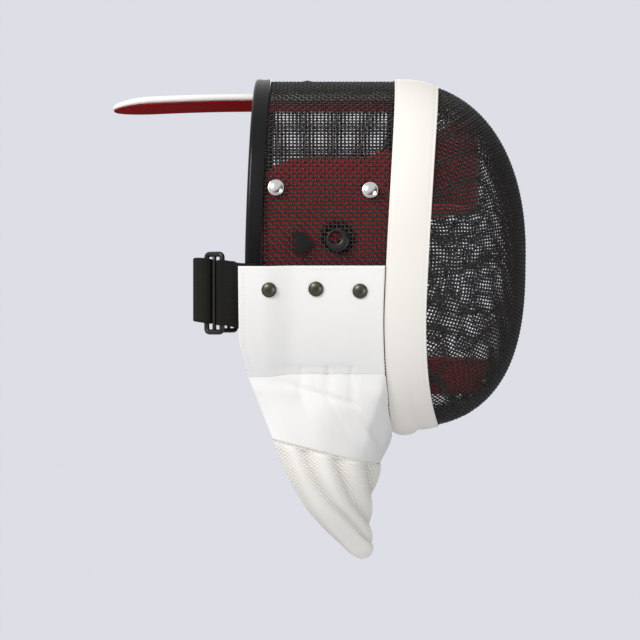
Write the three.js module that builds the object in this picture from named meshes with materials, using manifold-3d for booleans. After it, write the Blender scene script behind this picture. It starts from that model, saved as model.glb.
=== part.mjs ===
// A fencing mask: a woven-wire face bowl and side mesh, joined under a padded band, with a
// fabric bib, a spring tongue for the back of the head, a rear strap and inner pads.
// Millimetres. +X is where the wearer looks, +Y is the wearer's left, +Z is up. The origin is
// the underside of the tongue on the mid-plane, where the crown of the head sits.
import * as THREE from 'three';
import { mergeVertices } from 'three/addons/utils/BufferGeometryUtils.js';
import Module from 'manifold-3d';

const manifoldLibrary = await Module();
manifoldLibrary.setup();

const GAP = 0.3; // left between pieces that touch

// ---------------------------------------------------------------- driving dimensions
// The middle surface of the wire mesh: an egg-shaped section, straight behind and domed in front.
const mesh = {
  centreZ: -122.5, // level of the widest line
  halfWidth: 102,
  rise: 141, // widest line to crown
  drop: 136.4, // widest line to chin
  sectionPower: 2.2, // superellipse power of the section
  sidePower: 2.25, // powers of the dome's curve from back to front, at the sides,
  crownPower: 2.28, // over the crown
  chinPower: 2.71, // and under the chin
  egg: 0.12, // wider above, narrower at the chin, over `eggHeight`
  eggHeight: 140,
  domeStart: 60, // where the straight part ends
  domeDepth: 104.7,
  thickness: 2, // two crossing wires
  jointX: 71, // front and rear mesh meet here under the band
  rearX: -48.4, // rear edge at the crown
  rearLean: 5, // the rear edge is this much further back at the sides
  rearLowZ: -210.5, // lower edge of the side mesh at the back
  jointLowZ: -245, // and at the joint
};

const trim = { lip: 10, bead: 2.8, halfThickness: 2.8, slot: 1.45 };

// Offsets are from the middle surface of the mesh. The band bows back between crown and chin.
const band = {
  inside: 1.6,
  outside: 2.7,
  crown: 0.4,
  roll: 3.9, // extra thickness of the roll under the chin
  width: 31.5,
  widerAtTop: 2.5,
  widerAtChin: 6,
  rearX: 48.3, // rearmost point of its rear edge
  rearLevel: -45, // height of that point above the widest line
  crownBow: 11,
  chinBow: 9.2,
  crownBowPower: 1.4,
  rollEnd: 0.55, // share of the width that the chin roll takes
};

const flap = {
  thickness: 2,
  topZ: -131.5,
  bottomZ: -211.5,
  rearX: -61,
  lift: 2.2, // inner face above the middle surface of the mesh
  liftOverTrim: 6.6,
  overTrimTo: -44, // the lift eases off from here over the next `easeRun`
  easeRun: 26,
  cornerCut: 3.5, // the rear edge comes forward this much at the lower seam
  cornerShare: 0.34,
};

const bib = {
  thickness: 3,
  seamZ: -213, // top of the throat piece, just under the flaps
  rearX: -55,
  sectionPower: 2.5,
  sideRun: 0.56, // share of the top edge that follows the flap seams
  chinLift: 5.4,
  hem: 0.985, // the throat piece stops this far down, short of the ribbed bib
};

// Rows of the lower bib from the knit border down to the tip.
// rearX, rearZ: the free rear edge.  frontX, frontZ: the front centre line.  halfWidth: at the rear edge.
const bibRows = [
  { rearX: -36, rearZ: -264, frontX: 45.5, frontZ: -287.5, halfWidth: 78 },
  { rearX: -26.8, rearZ: -287.5, frontX: 44.7, frontZ: -297, halfWidth: 71 },
  { rearX: -14, rearZ: -312, frontX: 41, frontZ: -312, halfWidth: 58 },
  { rearX: -1.6, rearZ: -329.5, frontX: 38.5, frontZ: -325, halfWidth: 44 },
  { rearX: 14, rearZ: -347, frontX: 38.5, frontZ: -343, halfWidth: 26 },
  { rearX: 23.5, rearZ: -357, frontX: 40, frontZ: -356, halfWidth: 14 },
  { rearX: 33, rearZ: -364, frontX: 37, frontZ: -363.5, halfWidth: 4 },
];

const tongue = {
  width: 60,
  tipX: -168,
  innerX: 60,
  tipLength: 34, // the rounded end
  coverBottom: 1.5,
  coverTop: 7.5,
  liningTop: 1.2,
  droopStart: -50, // from here back the tongue sinks a little
  droop: 4,
  tipThinning: 0.55, // share of its thickness left at the very tip
};

const strap = {
  height: 49,
  thickness: 2,
  rearMiddleZ: -148.8,
  loopMiddleZ: -152,
  rearX: -99,
  underFlap: 5.1, // outside the side mesh, between the trim and the flap
  tabDrop: 2.6, // the tab's fixed end hangs this much lower than the loop
  tabRun: 16,
};

// A wire-like plastic loop with two upright bars: the tab is folded round the front one, the
// rear strap round the rear one.
const loop = {
  frontX: -73.5,
  frontY: 98,
  rearX: -85.5,
  rearY: 91,
  topZ: -121,
  bottomZ: -183.5,
  rod: 2,
  corner: 2.5,
};

const pads = {
  thickness: 9.5,
  inset: 4.6, // outer face inside the middle surface of the mesh
  sideRearX: -55,
  sideFrontX: 56,
  sideTopZ: -45.7,
  sideBottomZ: -190,
  earX: 14.3,
  earZ: -111.5,
  earRadius: 13.6,
  earDepth: 7, // the round recess for the ear, cut from the mesh side
  earCutLength: 30, // of the cutter, well past the pad's outer face
  cornerX: -15, // the rear top corner is rounded from here back
  cornerDrop: 28,
  frontRise: 8, // its top edge rises this much towards the front
  riseStartX: 35,
  riseRun: 20,
};
// The two pads round the front: where they start, how far they reach, and their edges.
const forehead = {
  startX: 57,
  depth: 70,
  inset: 6,
  sideTopZ: -38,
  frontTopZ: -12.5,
  bottomZ: -84,
  lean: 0,
};
const chin = {
  startX: 73,
  depth: 65,
  inset: 9,
  sideTopZ: -206,
  frontTopZ: -206,
  bottomZ: -233,
  lean: 10, // its lower edge is this much further back
};
const padPower = 2.3; // superellipse power of their plan

// ---------------------------------------------------------------- shared surfaces
const signedPower = (value, power) => Math.sign(value) * Math.abs(value) ** power;
const clamp01 = (value) => Math.min(1, Math.max(0, value));
const smooth = (value) => clamp01(value) ** 2 * (3 - 2 * clamp01(value));
const lerp = THREE.MathUtils.lerp;

/** Height above the widest line of the section point at angle t (0 left, a quarter turn up). */
function sectionHeight(t) {
  const s = Math.sin(t);
  return signedPower(s, 2 / mesh.sectionPower) * (s > 0 ? mesh.rise : mesh.drop);
}

/** Angle on the wearer's left of the section point at height z. */
function sectionAngle(z) {
  const h = z - mesh.centreZ;
  const share = Math.min(1, Math.abs(h) / (h > 0 ? mesh.rise : mesh.drop));
  return Math.sign(h) * Math.asin(share ** (mesh.sectionPower / 2));
}

/** Half width of the section at height z. */
const sectionHalfWidth = (z) => hull(0, sectionAngle(z)).y;

/** Share of the full section left at station x of the dome. */
function domeShare(x, t) {
  const s = Math.sin(t);
  const power = lerp(mesh.sidePower, s > 0 ? mesh.crownPower : mesh.chinPower, s ** 2);
  const along = clamp01((x - mesh.domeStart) / mesh.domeDepth);
  return (1 - along ** power) ** (1 / power);
}

/** Middle surface of the mesh: section angle t at station x. */
function hull(x, t) {
  const h = sectionHeight(t);
  const y = signedPower(Math.cos(t), 2 / mesh.sectionPower) * mesh.halfWidth
    * (1 + (mesh.egg * h) / mesh.eggHeight);
  const share = domeShare(x, t);
  return new THREE.Vector3(x, y * share, mesh.centreZ + h * share);
}

/** Normal of surface(u, v) by small steps: the direction of its u step crossed with its v step. */
function surfaceNormal(surface, u, v) {
  const step = 1e-3;
  const [u0, u1] = [Math.max(0, u - step), Math.min(1, u + step)];
  const [v0, v1] = [Math.max(step, v) - step, Math.min(1 - step, v) + step];
  const middleV = Math.min(1 - step, Math.max(step, v));
  const alongU = surface(u1, middleV).sub(surface(u0, middleV));
  const alongV = surface(u, v1).sub(surface(u, v0));
  return alongU.cross(alongV).normalize();
}

/** Triangles that close a ring of `around` points whose two halves run side by side. */
function ladderCap(around) {
  const triangles = [];
  for (let k = 0; k < around / 2 - 1; k += 1) {
    const [a, b, c, d] = [k, k + 1, around - 2 - k, around - 1 - k];
    triangles.push([a, b, c], [a, c, d]);
  }
  return triangles;
}

/** A closed body from rings of points; `cap` lists the triangles of its ends, none for a full ring. */
function closedTube(rings, cap = null) {
  const around = rings[0].length;
  const index = [];
  for (let i = 0; i < rings.length - (cap ? 1 : 0); i += 1) {
    const next = (i + 1) % rings.length;
    for (let j = 0; j < around; j += 1) {
      const after = (j + 1) % around;
      const [a, b] = [i * around + j, i * around + after];
      const [c, d] = [next * around + after, next * around + j];
      index.push(a, b, c, a, c, d);
    }
  }
  const last = (rings.length - 1) * around;
  for (const [a, b, c] of cap ?? []) index.push(a, c, b, last + a, last + b, last + c);
  return solid(rings.flat().flatMap((p) => [p.x, p.y, p.z]), index);
}

/** A clean closed geometry: shared points merged, empty triangles dropped, faces pointing out. */
function solid(positions, index) {
  let geometry = new THREE.BufferGeometry();
  geometry.setAttribute('position', new THREE.Float32BufferAttribute(positions, 3));
  geometry.setIndex(index);
  geometry = mergeVertices(geometry, 1e-3);
  const points = geometry.getAttribute('position');
  const corner = (i) => new THREE.Vector3().fromBufferAttribute(points, i);
  const kept = [];
  let volume = 0;
  const merged = geometry.getIndex().array;
  for (let i = 0; i < merged.length; i += 3) {
    const [a, b, c] = [merged[i], merged[i + 1], merged[i + 2]];
    if (a === b || b === c || c === a) continue;
    kept.push([a, b, c]);
    volume += corner(a).dot(corner(b).cross(corner(c)));
  }
  geometry.setIndex(kept.flatMap(([a, b, c]) => (volume > 0 ? [a, b, c] : [a, c, b])));
  return geometry;
}

/** A closed wall between two offsets of surface(u, v); a ring closes on itself along u. `tilt` is
 * the share of the normal's upward part that is kept, so that two walls can meet face to face. */
function wall(surface, uSteps, vSteps, inside, outside, { ring = false, tilt = () => 1 } = {}) {
  const offset = (value, u, v) => (typeof value === 'function' ? value(u, v) : value);
  const rings = [];
  for (let i = 0; i < uSteps + (ring ? 0 : 1); i += 1) {
    const u = i / uSteps;
    const outer = [];
    const inner = [];
    for (let j = 0; j <= vSteps; j += 1) {
      const v = j / vSteps;
      const normal = surfaceNormal(surface, u, v);
      normal.setZ(normal.z * tilt(v)).normalize();
      outer.push(surface(u, v).addScaledVector(normal, offset(outside, u, v)));
      inner.unshift(surface(u, v).addScaledVector(normal, offset(inside, u, v)));
    }
    rings.push([...outer, ...inner]);
  }
  return closedTube(rings, ring ? null : ladderCap(2 * (vSteps + 1)));
}

/** The same piece on the other side of the mid-plane. */
function mirrored(geometry) {
  const points = geometry.getAttribute('position').array.map((value, i) => (i % 3 === 1 ? -value : value));
  return solid(Array.from(points), Array.from(geometry.getIndex().array));
}

/** One solid cut out of another. */
function cutAway(geometry, tool) {
  const asManifold = (source) => {
    const bare = source.clone();
    bare.deleteAttribute('normal');
    bare.deleteAttribute('uv');
    const merged = mergeVertices(bare, 1e-4);
    return new manifoldLibrary.Manifold(new manifoldLibrary.Mesh({
      numProp: 3,
      vertProperties: new Float32Array(merged.getAttribute('position').array),
      triVerts: new Uint32Array(merged.getIndex().array),
    }));
  };
  const result = asManifold(geometry).subtract(asManifold(tool)).getMesh();
  return solid(Array.from(result.vertProperties), Array.from(result.triVerts));
}

// ---------------------------------------------------------------- materials
const finish = (color, roughness, metalness) => (
  new THREE.MeshStandardMaterial({ color, roughness, metalness })
);
const materials = {
  mesh: finish('#2b2b2a', 0.45, 0.6),
  trim: finish('#0b0b0c', 0.25, 0),
  band: finish('#f4efe8', 0.5, 0),
  bib: finish('#f3f3f1', 0.8, 0),
  knit: finish('#e7e4da', 0.95, 0),
  lining: finish('#7d1013', 0.9, 0),
  webbing: finish('#22221f', 0.9, 0),
  plastic: finish('#0e0e0e', 0.3, 0),
  bright: finish('#d8d8d6', 0.15, 1),
  dark: finish('#3a372c', 0.35, 0.8),
};

const group = new THREE.Group();

function add(name, geometry, material) {
  const piece = new THREE.Mesh(geometry, material);
  piece.name = name;
  group.add(piece);
  return piece;
}

/** The same piece on both sides: `geometry` is the wearer's left one. */
function addPair(name, geometry, material) {
  add(`${name}_left`, geometry, material);
  add(`${name}_right`, mirrored(geometry), material);
}

// ---------------------------------------------------------------- wire mesh
/** The face bowl: u round the section, v from the joint to the pole. */
function bowl(u, v) {
  const t = u * 2 * Math.PI;
  const half = mesh.sidePower / 2;
  const start = Math.asin(((mesh.jointX - mesh.domeStart) / mesh.domeDepth) ** half);
  const x = mesh.domeStart + mesh.domeDepth * Math.sin(lerp(start, Math.PI / 2, v)) ** (1 / half);
  return hull(x, t);
}

/** Rear edge of the side mesh at section angle t. */
const rearEdge = (t) => mesh.rearX - mesh.rearLean * (1 - Math.max(Math.sin(t), 0));

/** The side mesh: u over the crown from left to right, v from the rear edge to the joint. */
function sides(u, v) {
  const low = sectionAngle(lerp(mesh.rearLowZ, mesh.jointLowZ, v));
  const t = lerp(low, Math.PI - low, u);
  return hull(lerp(rearEdge(t), mesh.jointX - GAP, v), t);
}

const halfMesh = mesh.thickness / 2;
add('front_mesh', wall(bowl, 36, 10, -halfMesh, halfMesh, { ring: true }), materials.mesh);
add('rear_mesh', wall(sides, 28, 4, -halfMesh, halfMesh), materials.mesh);

// ---------------------------------------------------------------- rear trim
/** A U-shaped edging that holds the rear edge of the side mesh in its slot. */
function trimGeometry() {
  const { slot, halfThickness: full } = trim;
  const outline = [
    [trim.lip, slot],
    [trim.lip, full * 0.88],
    [trim.lip * 0.6, full],
    [0.5, full * 0.9],
    [-trim.bead * 0.75, full * 0.5],
    [-trim.bead, 0],
    [-trim.bead * 0.75, -full * 0.5],
    [0.5, -full * 0.9],
    [trim.lip * 0.6, -full],
    [trim.lip, -full * 0.88],
    [trim.lip, -slot],
    [-GAP, -slot],
    [-GAP, slot],
  ];
  const steps = 28;
  const rings = [];
  for (let i = 0; i <= steps; i += 1) {
    const edge = sides(i / steps, 0);
    const normal = surfaceNormal(sides, i / steps, 0).setX(0).normalize();
    const place = ([along, out]) => edge.clone().addScaledVector(normal, out).setX(edge.x + along);
    rings.push(outline.map(place));
  }
  const flat = outline.map(([along, out]) => new THREE.Vector2(along, out));
  return closedTube(rings, THREE.ShapeUtils.triangulateShape(flat, []));
}
add('rear_trim', trimGeometry(), materials.trim);

// ---------------------------------------------------------------- band over the joint
/** Rear edge of the band: bowed back at the cheeks, forward at the crown and the chin. */
function bandRear(t) {
  const h = sectionHeight(t);
  const level = band.rearLevel;
  if (h > level) {
    return band.rearX + band.crownBow * ((h - level) / (mesh.rise - level)) ** band.crownBowPower;
  }
  return band.rearX + band.chinBow * ((level - h) / (level + mesh.drop)) ** 2;
}

const bandWidth = (t) => band.width + band.widerAtTop * Math.max(Math.sin(t), 0) ** 3
  + band.widerAtChin * Math.max(-Math.sin(t), 0) ** 6;

/** The band: u round the section, v from its rear edge to its front edge. */
function bandSurface(u, v) {
  const t = u * 2 * Math.PI;
  return hull(bandRear(t) + v * bandWidth(t), t);
}

/** Height of the outer face of the band: crowned, with a padded roll behind at the chin. */
function bandOutside(u, v) {
  const chinShare = Math.max(-Math.sin(u * 2 * Math.PI), 0) ** 6;
  const rollShape = Math.sin(Math.PI * clamp01(v / band.rollEnd)) ** 0.6;
  return band.outside + band.crown * Math.sin(Math.PI * v) + band.roll * chinShare * rollShape;
}
add('joint_band', wall(bandSurface, 36, 6, band.inside, bandOutside, { ring: true }), materials.band);

// ---------------------------------------------------------------- bib
const flapLift = (x) => lerp(flap.liftOverTrim, flap.lift, smooth((x - flap.overTrimTo) / flap.easeRun));

/** Left side flap: u up from its lower seam, v from its rear edge to the band. */
function flapSurface(u, v) {
  const z = lerp(flap.bottomZ, flap.topZ, u);
  const t = sectionAngle(z);
  const lowerCorner = flap.cornerCut * smooth((flap.cornerShare - u) / flap.cornerShare);
  return hull(lerp(flap.rearX + lowerCorner, bandRear(t) - 2 * GAP, v), t);
}
const flapX = (u, v) => flapSurface(u, v).x;
addPair('side_flap', wall(flapSurface, 6, 8, (u, v) => flapLift(flapX(u, v)),
  (u, v) => flapLift(flapX(u, v)) + flap.thickness), materials.bib);

/** Value of one column of the bib rows at share s of the way down, through a smooth curve. */
function bibColumn(column, s) {
  const at = (i) => bibRows[Math.min(bibRows.length - 1, Math.max(0, i))][column];
  const place = clamp01(s) * (bibRows.length - 1);
  const i = Math.min(bibRows.length - 2, Math.floor(place));
  const f = place - i;
  const [a, b, c, d] = [at(i - 1), at(i), at(i + 1), at(i + 2)];
  return b + 0.5 * f * (c - a + f * (2 * a - 5 * b + 4 * c - d + f * (3 * (b - c) + d - a)));
}

/** The lower bib: u from the left rear edge round the front to the right, v down to the tip. */
function lowerBib(u, v) {
  const angle = (0.5 - u) * Math.PI;
  const forward = Math.cos(angle) ** (2 / bib.sectionPower);
  const across = signedPower(Math.sin(angle), 2 / bib.sectionPower);
  return new THREE.Vector3(
    lerp(bibColumn('rearX', v), bibColumn('frontX', v), forward),
    across * bibColumn('halfWidth', v),
    lerp(bibColumn('rearZ', v), bibColumn('frontZ', v), forward),
  );
}

/** Top edge of the throat piece: along the flap seam, then round the chin behind the band. */
function throatTop(u) {
  const side = u < 0.5 ? 1 : -1;
  const along = 1 - Math.abs(1 - 2 * u); // 0 at a rear edge, 1 at the front centre
  const seamAngle = sectionAngle(bib.seamZ);
  const downShare = smooth((along - bib.sideRun) / (1 - bib.sideRun)) * 0.5
    + 0.5 * clamp01((along - bib.sideRun) / (1 - bib.sideRun));
  const t = lerp(seamAngle, -Math.PI / 2, downShare);
  const x = lerp(bib.rearX, bandRear(t) - 4 * GAP, Math.min(1, along / bib.sideRun));
  const point = hull(x, t);
  const outward = surfaceNormal((a, b) => hull(b, lerp(t - 0.05, t + 0.05, a)), 0.5, 0);
  point.addScaledVector(outward.setX(0).normalize(), flapLift(x) + bib.chinLift * downShare);
  return new THREE.Vector3(point.x, side * point.y, point.z);
}

/** The throat piece: u as in the lower bib, v down from the flap seam to the knit border. */
function throat(u, v) {
  return throatTop(u).lerp(lowerBib(u, 0), v);
}

const hemmedThroat = (u, v) => throat(u, v * bib.hem);
add('throat_bib', wall(hemmedThroat, 28, 4, 0, bib.thickness, { tilt: (v) => 1 - v ** 2 }), materials.bib);
add('ribbed_bib', wall(lowerBib, 24, 9, 0, bib.thickness, { tilt: (v) => smooth(3 * v) }), materials.knit);

// ---------------------------------------------------------------- tongue
const tongueSteps = { tip: 6, whole: 14, bluntness: 0.4 };

/** A slab with the tongue's plan, between two heights that sink and thin towards the tip. */
function tongueSlab(bottom, top, inset) {
  const { tip: tipSteps, whole: steps, bluntness } = tongueSteps;
  const rings = [];
  for (let i = 0; i <= steps; i += 1) {
    const round = 1 - Math.cos((Math.min(i, tipSteps) / tipSteps) * (Math.PI / 2));
    const tip = tongue.tipX + inset;
    const x = i <= tipSteps ? tip + bluntness + (tongue.tipLength - bluntness) * round
      : lerp(tip + tongue.tipLength, tongue.innerX - inset, (i - tipSteps) / (steps - tipSteps));
    const back = clamp01((tip + tongue.tipLength - x) / tongue.tipLength);
    const half = (tongue.width / 2 - inset) * Math.sqrt(1 - back ** 2);
    const sink = tongue.droop * clamp01((tongue.droopStart - x) / (tongue.droopStart - tongue.tipX)) ** 2;
    const thinning = lerp(1, tongue.tipThinning, back ** 2);
    const [low, high] = [bottom * thinning - sink, top * thinning - sink];
    const across = [-1, -0.9, 0, 0.9, 1];
    const upperZ = (s) => (Math.abs(s) === 1 ? lerp(low, high, 0.75) : high);
    const lowerZ = (s) => (Math.abs(s) === 1 ? lerp(low, high, 0.25) : low);
    rings.push([
      ...across.map((s) => new THREE.Vector3(x, s * half, upperZ(s))),
      ...across.reverse().map((s) => new THREE.Vector3(x, s * half, lowerZ(s))),
    ]);
  }
  return closedTube(rings, ladderCap(rings[0].length));
}
add('tongue_cover', tongueSlab(tongue.coverBottom, tongue.coverTop, 0), materials.bib);
add('tongue_lining', tongueSlab(0, tongue.liningTop, 1), materials.lining);

const rivet = { x: -10, radius: 5, height: 2, spacerRadius: 9 };

/** A flat-based dome of revolution on +Y. */
function dome(radius, height) {
  const profile = [[0, 0], [radius * 0.94, 0], [radius, height * 0.25], [radius * 0.9, height * 0.55],
    [radius * 0.6, height * 0.87], [0, height]];
  return new THREE.LatheGeometry(profile.map(([r, y]) => new THREE.Vector2(r, y)), 14);
}

/** Sets a piece made on +Y down on the mesh at x, z, lifted off its middle surface. */
function seat(piece, x, z, lift, side) {
  const t = sectionAngle(z);
  const normal = surfaceNormal((a, b) => hull(x + b, t + 0.02 * (a - 0.5)), 0.5, 0.5);
  const place = hull(x, t).addScaledVector(normal, lift);
  piece.position.set(place.x, side * place.y, place.z);
  const up = new THREE.Vector3(0, 1, 0);
  piece.quaternion.setFromUnitVectors(up, normal.setY(side * normal.y));
}

const crownRivet = add('crown_rivet', dome(rivet.radius, rivet.height), materials.plastic);
const crownZ = mesh.centreZ + mesh.rise;
crownRivet.position.set(rivet.x, 0, crownZ + halfMesh + GAP);
crownRivet.rotation.x = Math.PI / 2;

const spacerHeight = crownZ - halfMesh - 4 * GAP - tongue.coverTop;
const spacerShape = new THREE.CylinderGeometry(rivet.spacerRadius, rivet.spacerRadius, spacerHeight, 16);
const spacer = add('tongue_spacer', spacerShape, materials.plastic);
spacer.position.set(rivet.x, 0, tongue.coverTop + GAP + spacerHeight / 2);
spacer.rotation.x = Math.PI / 2;

// ---------------------------------------------------------------- snaps, rings and patches
const snapRadius = { bright: 6.2, dark: 5.7 };
const snapHeight = 2.6;
const meshSnaps = { rear: { x: -33, z: -73.7 }, front: { x: 37.5, z: -75.5 } };
const bibSnaps = { rear: { x: -38, z: -148.5 }, middle: { x: -3, z: -148.5 }, front: { x: 30, z: -150 } };
const sideSigns = { left: 1, right: -1 };

for (const [sideName, side] of Object.entries(sideSigns)) {
  for (const [place, { x, z }] of Object.entries(meshSnaps)) {
    seat(add(`mesh_snap_${place}_${sideName}`, dome(snapRadius.bright, snapHeight), materials.bright), x, z,
      halfMesh + GAP, side);
  }
  for (const [place, { x, z }] of Object.entries(bibSnaps)) {
    seat(add(`bib_snap_${place}_${sideName}`, dome(snapRadius.dark, snapHeight), materials.dark), x, z,
      flapLift(x) + flap.thickness + GAP, side);
  }
}

/** A flat plate of the given outline in x, z, seated on the outside of the left side mesh. */
function plate(outline, thickness, x, z) {
  const options = { depth: thickness, bevelEnabled: false, curveSegments: 12 };
  const geometry = new THREE.ExtrudeGeometry(outline, options);
  geometry.rotateX(Math.PI / 2); // outline y becomes z, depth runs to -Y
  geometry.translate(x, sectionHalfWidth(z) + halfMesh + 2 * GAP + thickness, z);
  geometry.deleteAttribute('normal');
  geometry.deleteAttribute('uv');
  const merged = mergeVertices(geometry, 1e-4);
  return solid(Array.from(merged.getAttribute('position').array), Array.from(merged.getIndex().array));
}

const ring = { x: 13, z: -113, radius: 8.6, holeRadius: 4.6, holeX: -1.6, holeZ: 2, thickness: 3 };
const ringOutline = new THREE.Shape().absarc(0, 0, ring.radius, 0, 2 * Math.PI, false);
const ringHole = new THREE.Path().absarc(ring.holeX, ring.holeZ, ring.holeRadius, 0, 2 * Math.PI, true);
ringOutline.holes.push(ringHole);
addPair('ear_ring', plate(ringOutline, ring.thickness, ring.x, ring.z), materials.plastic);

const patch = { x: -19, z: -115, length: 15, halfHeight: 8.6, thickness: 1.2 };
const patchOutline = new THREE.Shape([
  new THREE.Vector2(0, -patch.halfHeight),
  new THREE.Vector2(patch.length * 0.4, -patch.halfHeight),
  new THREE.Vector2(patch.length, 0),
  new THREE.Vector2(patch.length * 0.4, patch.halfHeight),
  new THREE.Vector2(0, patch.halfHeight),
]);
addPair('side_patch', plate(patchOutline, patch.thickness, patch.x, patch.z), materials.plastic);

// ---------------------------------------------------------------- strap
/** Plan points of an arc round a bar, in degrees from +X towards +Y. */
function arcRound(x, y, from, to, steps) {
  const radius = loop.rod + GAP + strap.thickness / 2;
  return Array.from({ length: steps + 1 }, (_, i) => {
    const angle = THREE.MathUtils.degToRad(lerp(from, to, i / steps));
    return [x + radius * Math.cos(angle), y + radius * Math.sin(angle)];
  });
}

/** Point at share u of a list of plan points, counted by its legs. */
function alongPath(path, u) {
  const place = clamp01(u) * (path.length - 1);
  const i = Math.min(path.length - 2, Math.floor(place));
  return path[i].map((value, k) => lerp(value, path[i + 1][k] ?? 0, place - i));
}

/** Upright webbing along a plan path: [x, y, how much it leans with the side mesh]. */
function webbing(path, middleZ) {
  const surface = (u, v) => {
    const [x, y, lean = 0] = alongPath(path, u);
    const z = middleZ(x) + lerp(1, -1, v) * (strap.height / 2);
    return new THREE.Vector3(x, lerp(y, sectionHalfWidth(z) + strap.underFlap, lean), z);
  };
  return wall(surface, path.length - 1, 2, -strap.thickness / 2, strap.thickness / 2);
}

// The tab leaves from under the flap, passes outside the front bar, round it and back inside.
const tabPath = [[-47, 0, 1], [-53, 0, 1], [-60, 0, 1], [-66, 102, 0.5],
  ...arcRound(loop.frontX, loop.frontY, 75, 255, 6), [-64, 93]];
const tabMiddleZ = (x) => strap.loopMiddleZ - strap.tabDrop * smooth((x - loop.frontX) / strap.tabRun);
addPair('strap_tab', webbing(tabPath, tabMiddleZ), materials.webbing);

// The rear strap: folded round the rear bar on each side and curved round the back between them.
const halfStrap = [[-89.5, 77.2], ...arcRound(loop.rearX, loop.rearY, -30, 150, 6), [-92.6, 84], [-95.6, 72],
  [-97.6, 55], [-98.6, 36], [strap.rearX, 18]];
const strapPath = [...halfStrap, [strap.rearX, 0], ...halfStrap.map(([x, y]) => [x, -y]).reverse()];
add('rear_strap', webbing(strapPath, (x) => lerp(strap.rearMiddleZ, strap.loopMiddleZ,
  clamp01((x - strap.rearX) / (loop.frontX - strap.rearX)))), materials.webbing);

/** The loop: a round rod bent to an upright rectangle with rounded corners. */
function loopGeometry() {
  const across = new THREE.Vector3(loop.rearX - loop.frontX, loop.rearY - loop.frontY, 0);
  const width = across.length();
  across.normalize();
  const [low, high] = [loop.bottomZ + loop.rod, loop.topZ - loop.rod];
  const corners = [[width, high, 90], [0, high, 180], [0, low, 270], [width, low, 360]];
  const centreLine = corners.flatMap(([along, z, end]) => [-90, -60, -30, 0].map((turn) => {
    const angle = THREE.MathUtils.degToRad(end + turn);
    const inX = along > 0 ? -loop.corner : loop.corner;
    const inZ = z > (low + high) / 2 ? -loop.corner : loop.corner;
    const [dx, dz] = [loop.corner * Math.cos(angle), loop.corner * Math.sin(angle)];
    return { along: along + inX + dx, z: z + inZ + dz, angle };
  }));
  const normal = new THREE.Vector3(-across.y, across.x, 0);
  const rings = centreLine.map(({ along, z, angle }) => Array.from({ length: 6 }, (_, k) => {
    const turn = (k / 6) * 2 * Math.PI;
    const outward = across.clone().multiplyScalar(Math.cos(angle)).setZ(Math.sin(angle));
    return new THREE.Vector3(loop.frontX, loop.frontY, 0).addScaledVector(across, along)
      .add(new THREE.Vector3(0, 0, z)).addScaledVector(outward, loop.rod * Math.cos(turn))
      .addScaledVector(normal, loop.rod * Math.sin(turn));
  }));
  return closedTube(rings, null);
}
addPair('strap_loop', loopGeometry(), materials.plastic);

// ---------------------------------------------------------------- pads
/** Left side pad: u from its lower edge to its top edge, v from the back to the front. */
function sidePad(u, v) {
  const x = lerp(pads.sideRearX, pads.sideFrontX, v);
  const back = clamp01((pads.cornerX - x) / (pads.cornerX - pads.sideRearX));
  const rise = pads.frontRise * smooth((x - pads.riseStartX) / pads.riseRun);
  const top = pads.sideTopZ - pads.cornerDrop * (1 - Math.sqrt(1 - back ** 2)) + rise;
  return hull(x, sectionAngle(lerp(pads.sideBottomZ, top, u)));
}
const sidePadWall = wall(sidePad, 4, 8, -pads.inset - pads.thickness, -pads.inset);
// The ear recess is cut from the mesh side and stops short of the lining on the inner face.
const earCutter = new THREE.CylinderGeometry(pads.earRadius, pads.earRadius, pads.earCutLength, 20);
const recessFloorY = sectionHalfWidth(pads.earZ) - pads.inset - pads.earDepth;
earCutter.translate(pads.earX, recessFloorY + pads.earCutLength / 2, pads.earZ);
addPair('side_pad', cutAway(sidePadWall, earCutter), materials.lining);

/** A pad round the front of the head: u from left to right, v from its top edge down. */
function frontPad(spec) {
  return (u, v) => {
    const angle = (0.5 - u) * Math.PI;
    const forward = Math.abs(Math.cos(angle)) ** (2 / padPower);
    const across = signedPower(Math.sin(angle), 2 / padPower);
    const z = lerp(lerp(spec.sideTopZ, spec.frontTopZ, smooth(forward)), spec.bottomZ, v);
    return new THREE.Vector3(spec.startX + (spec.depth - spec.lean * v) * forward,
      across * (sectionHalfWidth(z) - spec.inset), z);
  };
}
add('forehead_pad', wall(frontPad(forehead), 20, 3, -pads.thickness, 0), materials.lining);
add('chin_pad', wall(frontPad(chin), 16, 2, -pads.thickness, 0), materials.lining);

export default group;
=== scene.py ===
"""A fencing mask on a pale studio floor: woven wire bowl and sides, padded band, cloth bib,
spring tongue, strap and red inner pads. Shapes are worked out in millimetres in the frame of
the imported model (+X is where the wearer looks, +Y their left, +Z up) and stored in metres."""
import math

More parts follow.
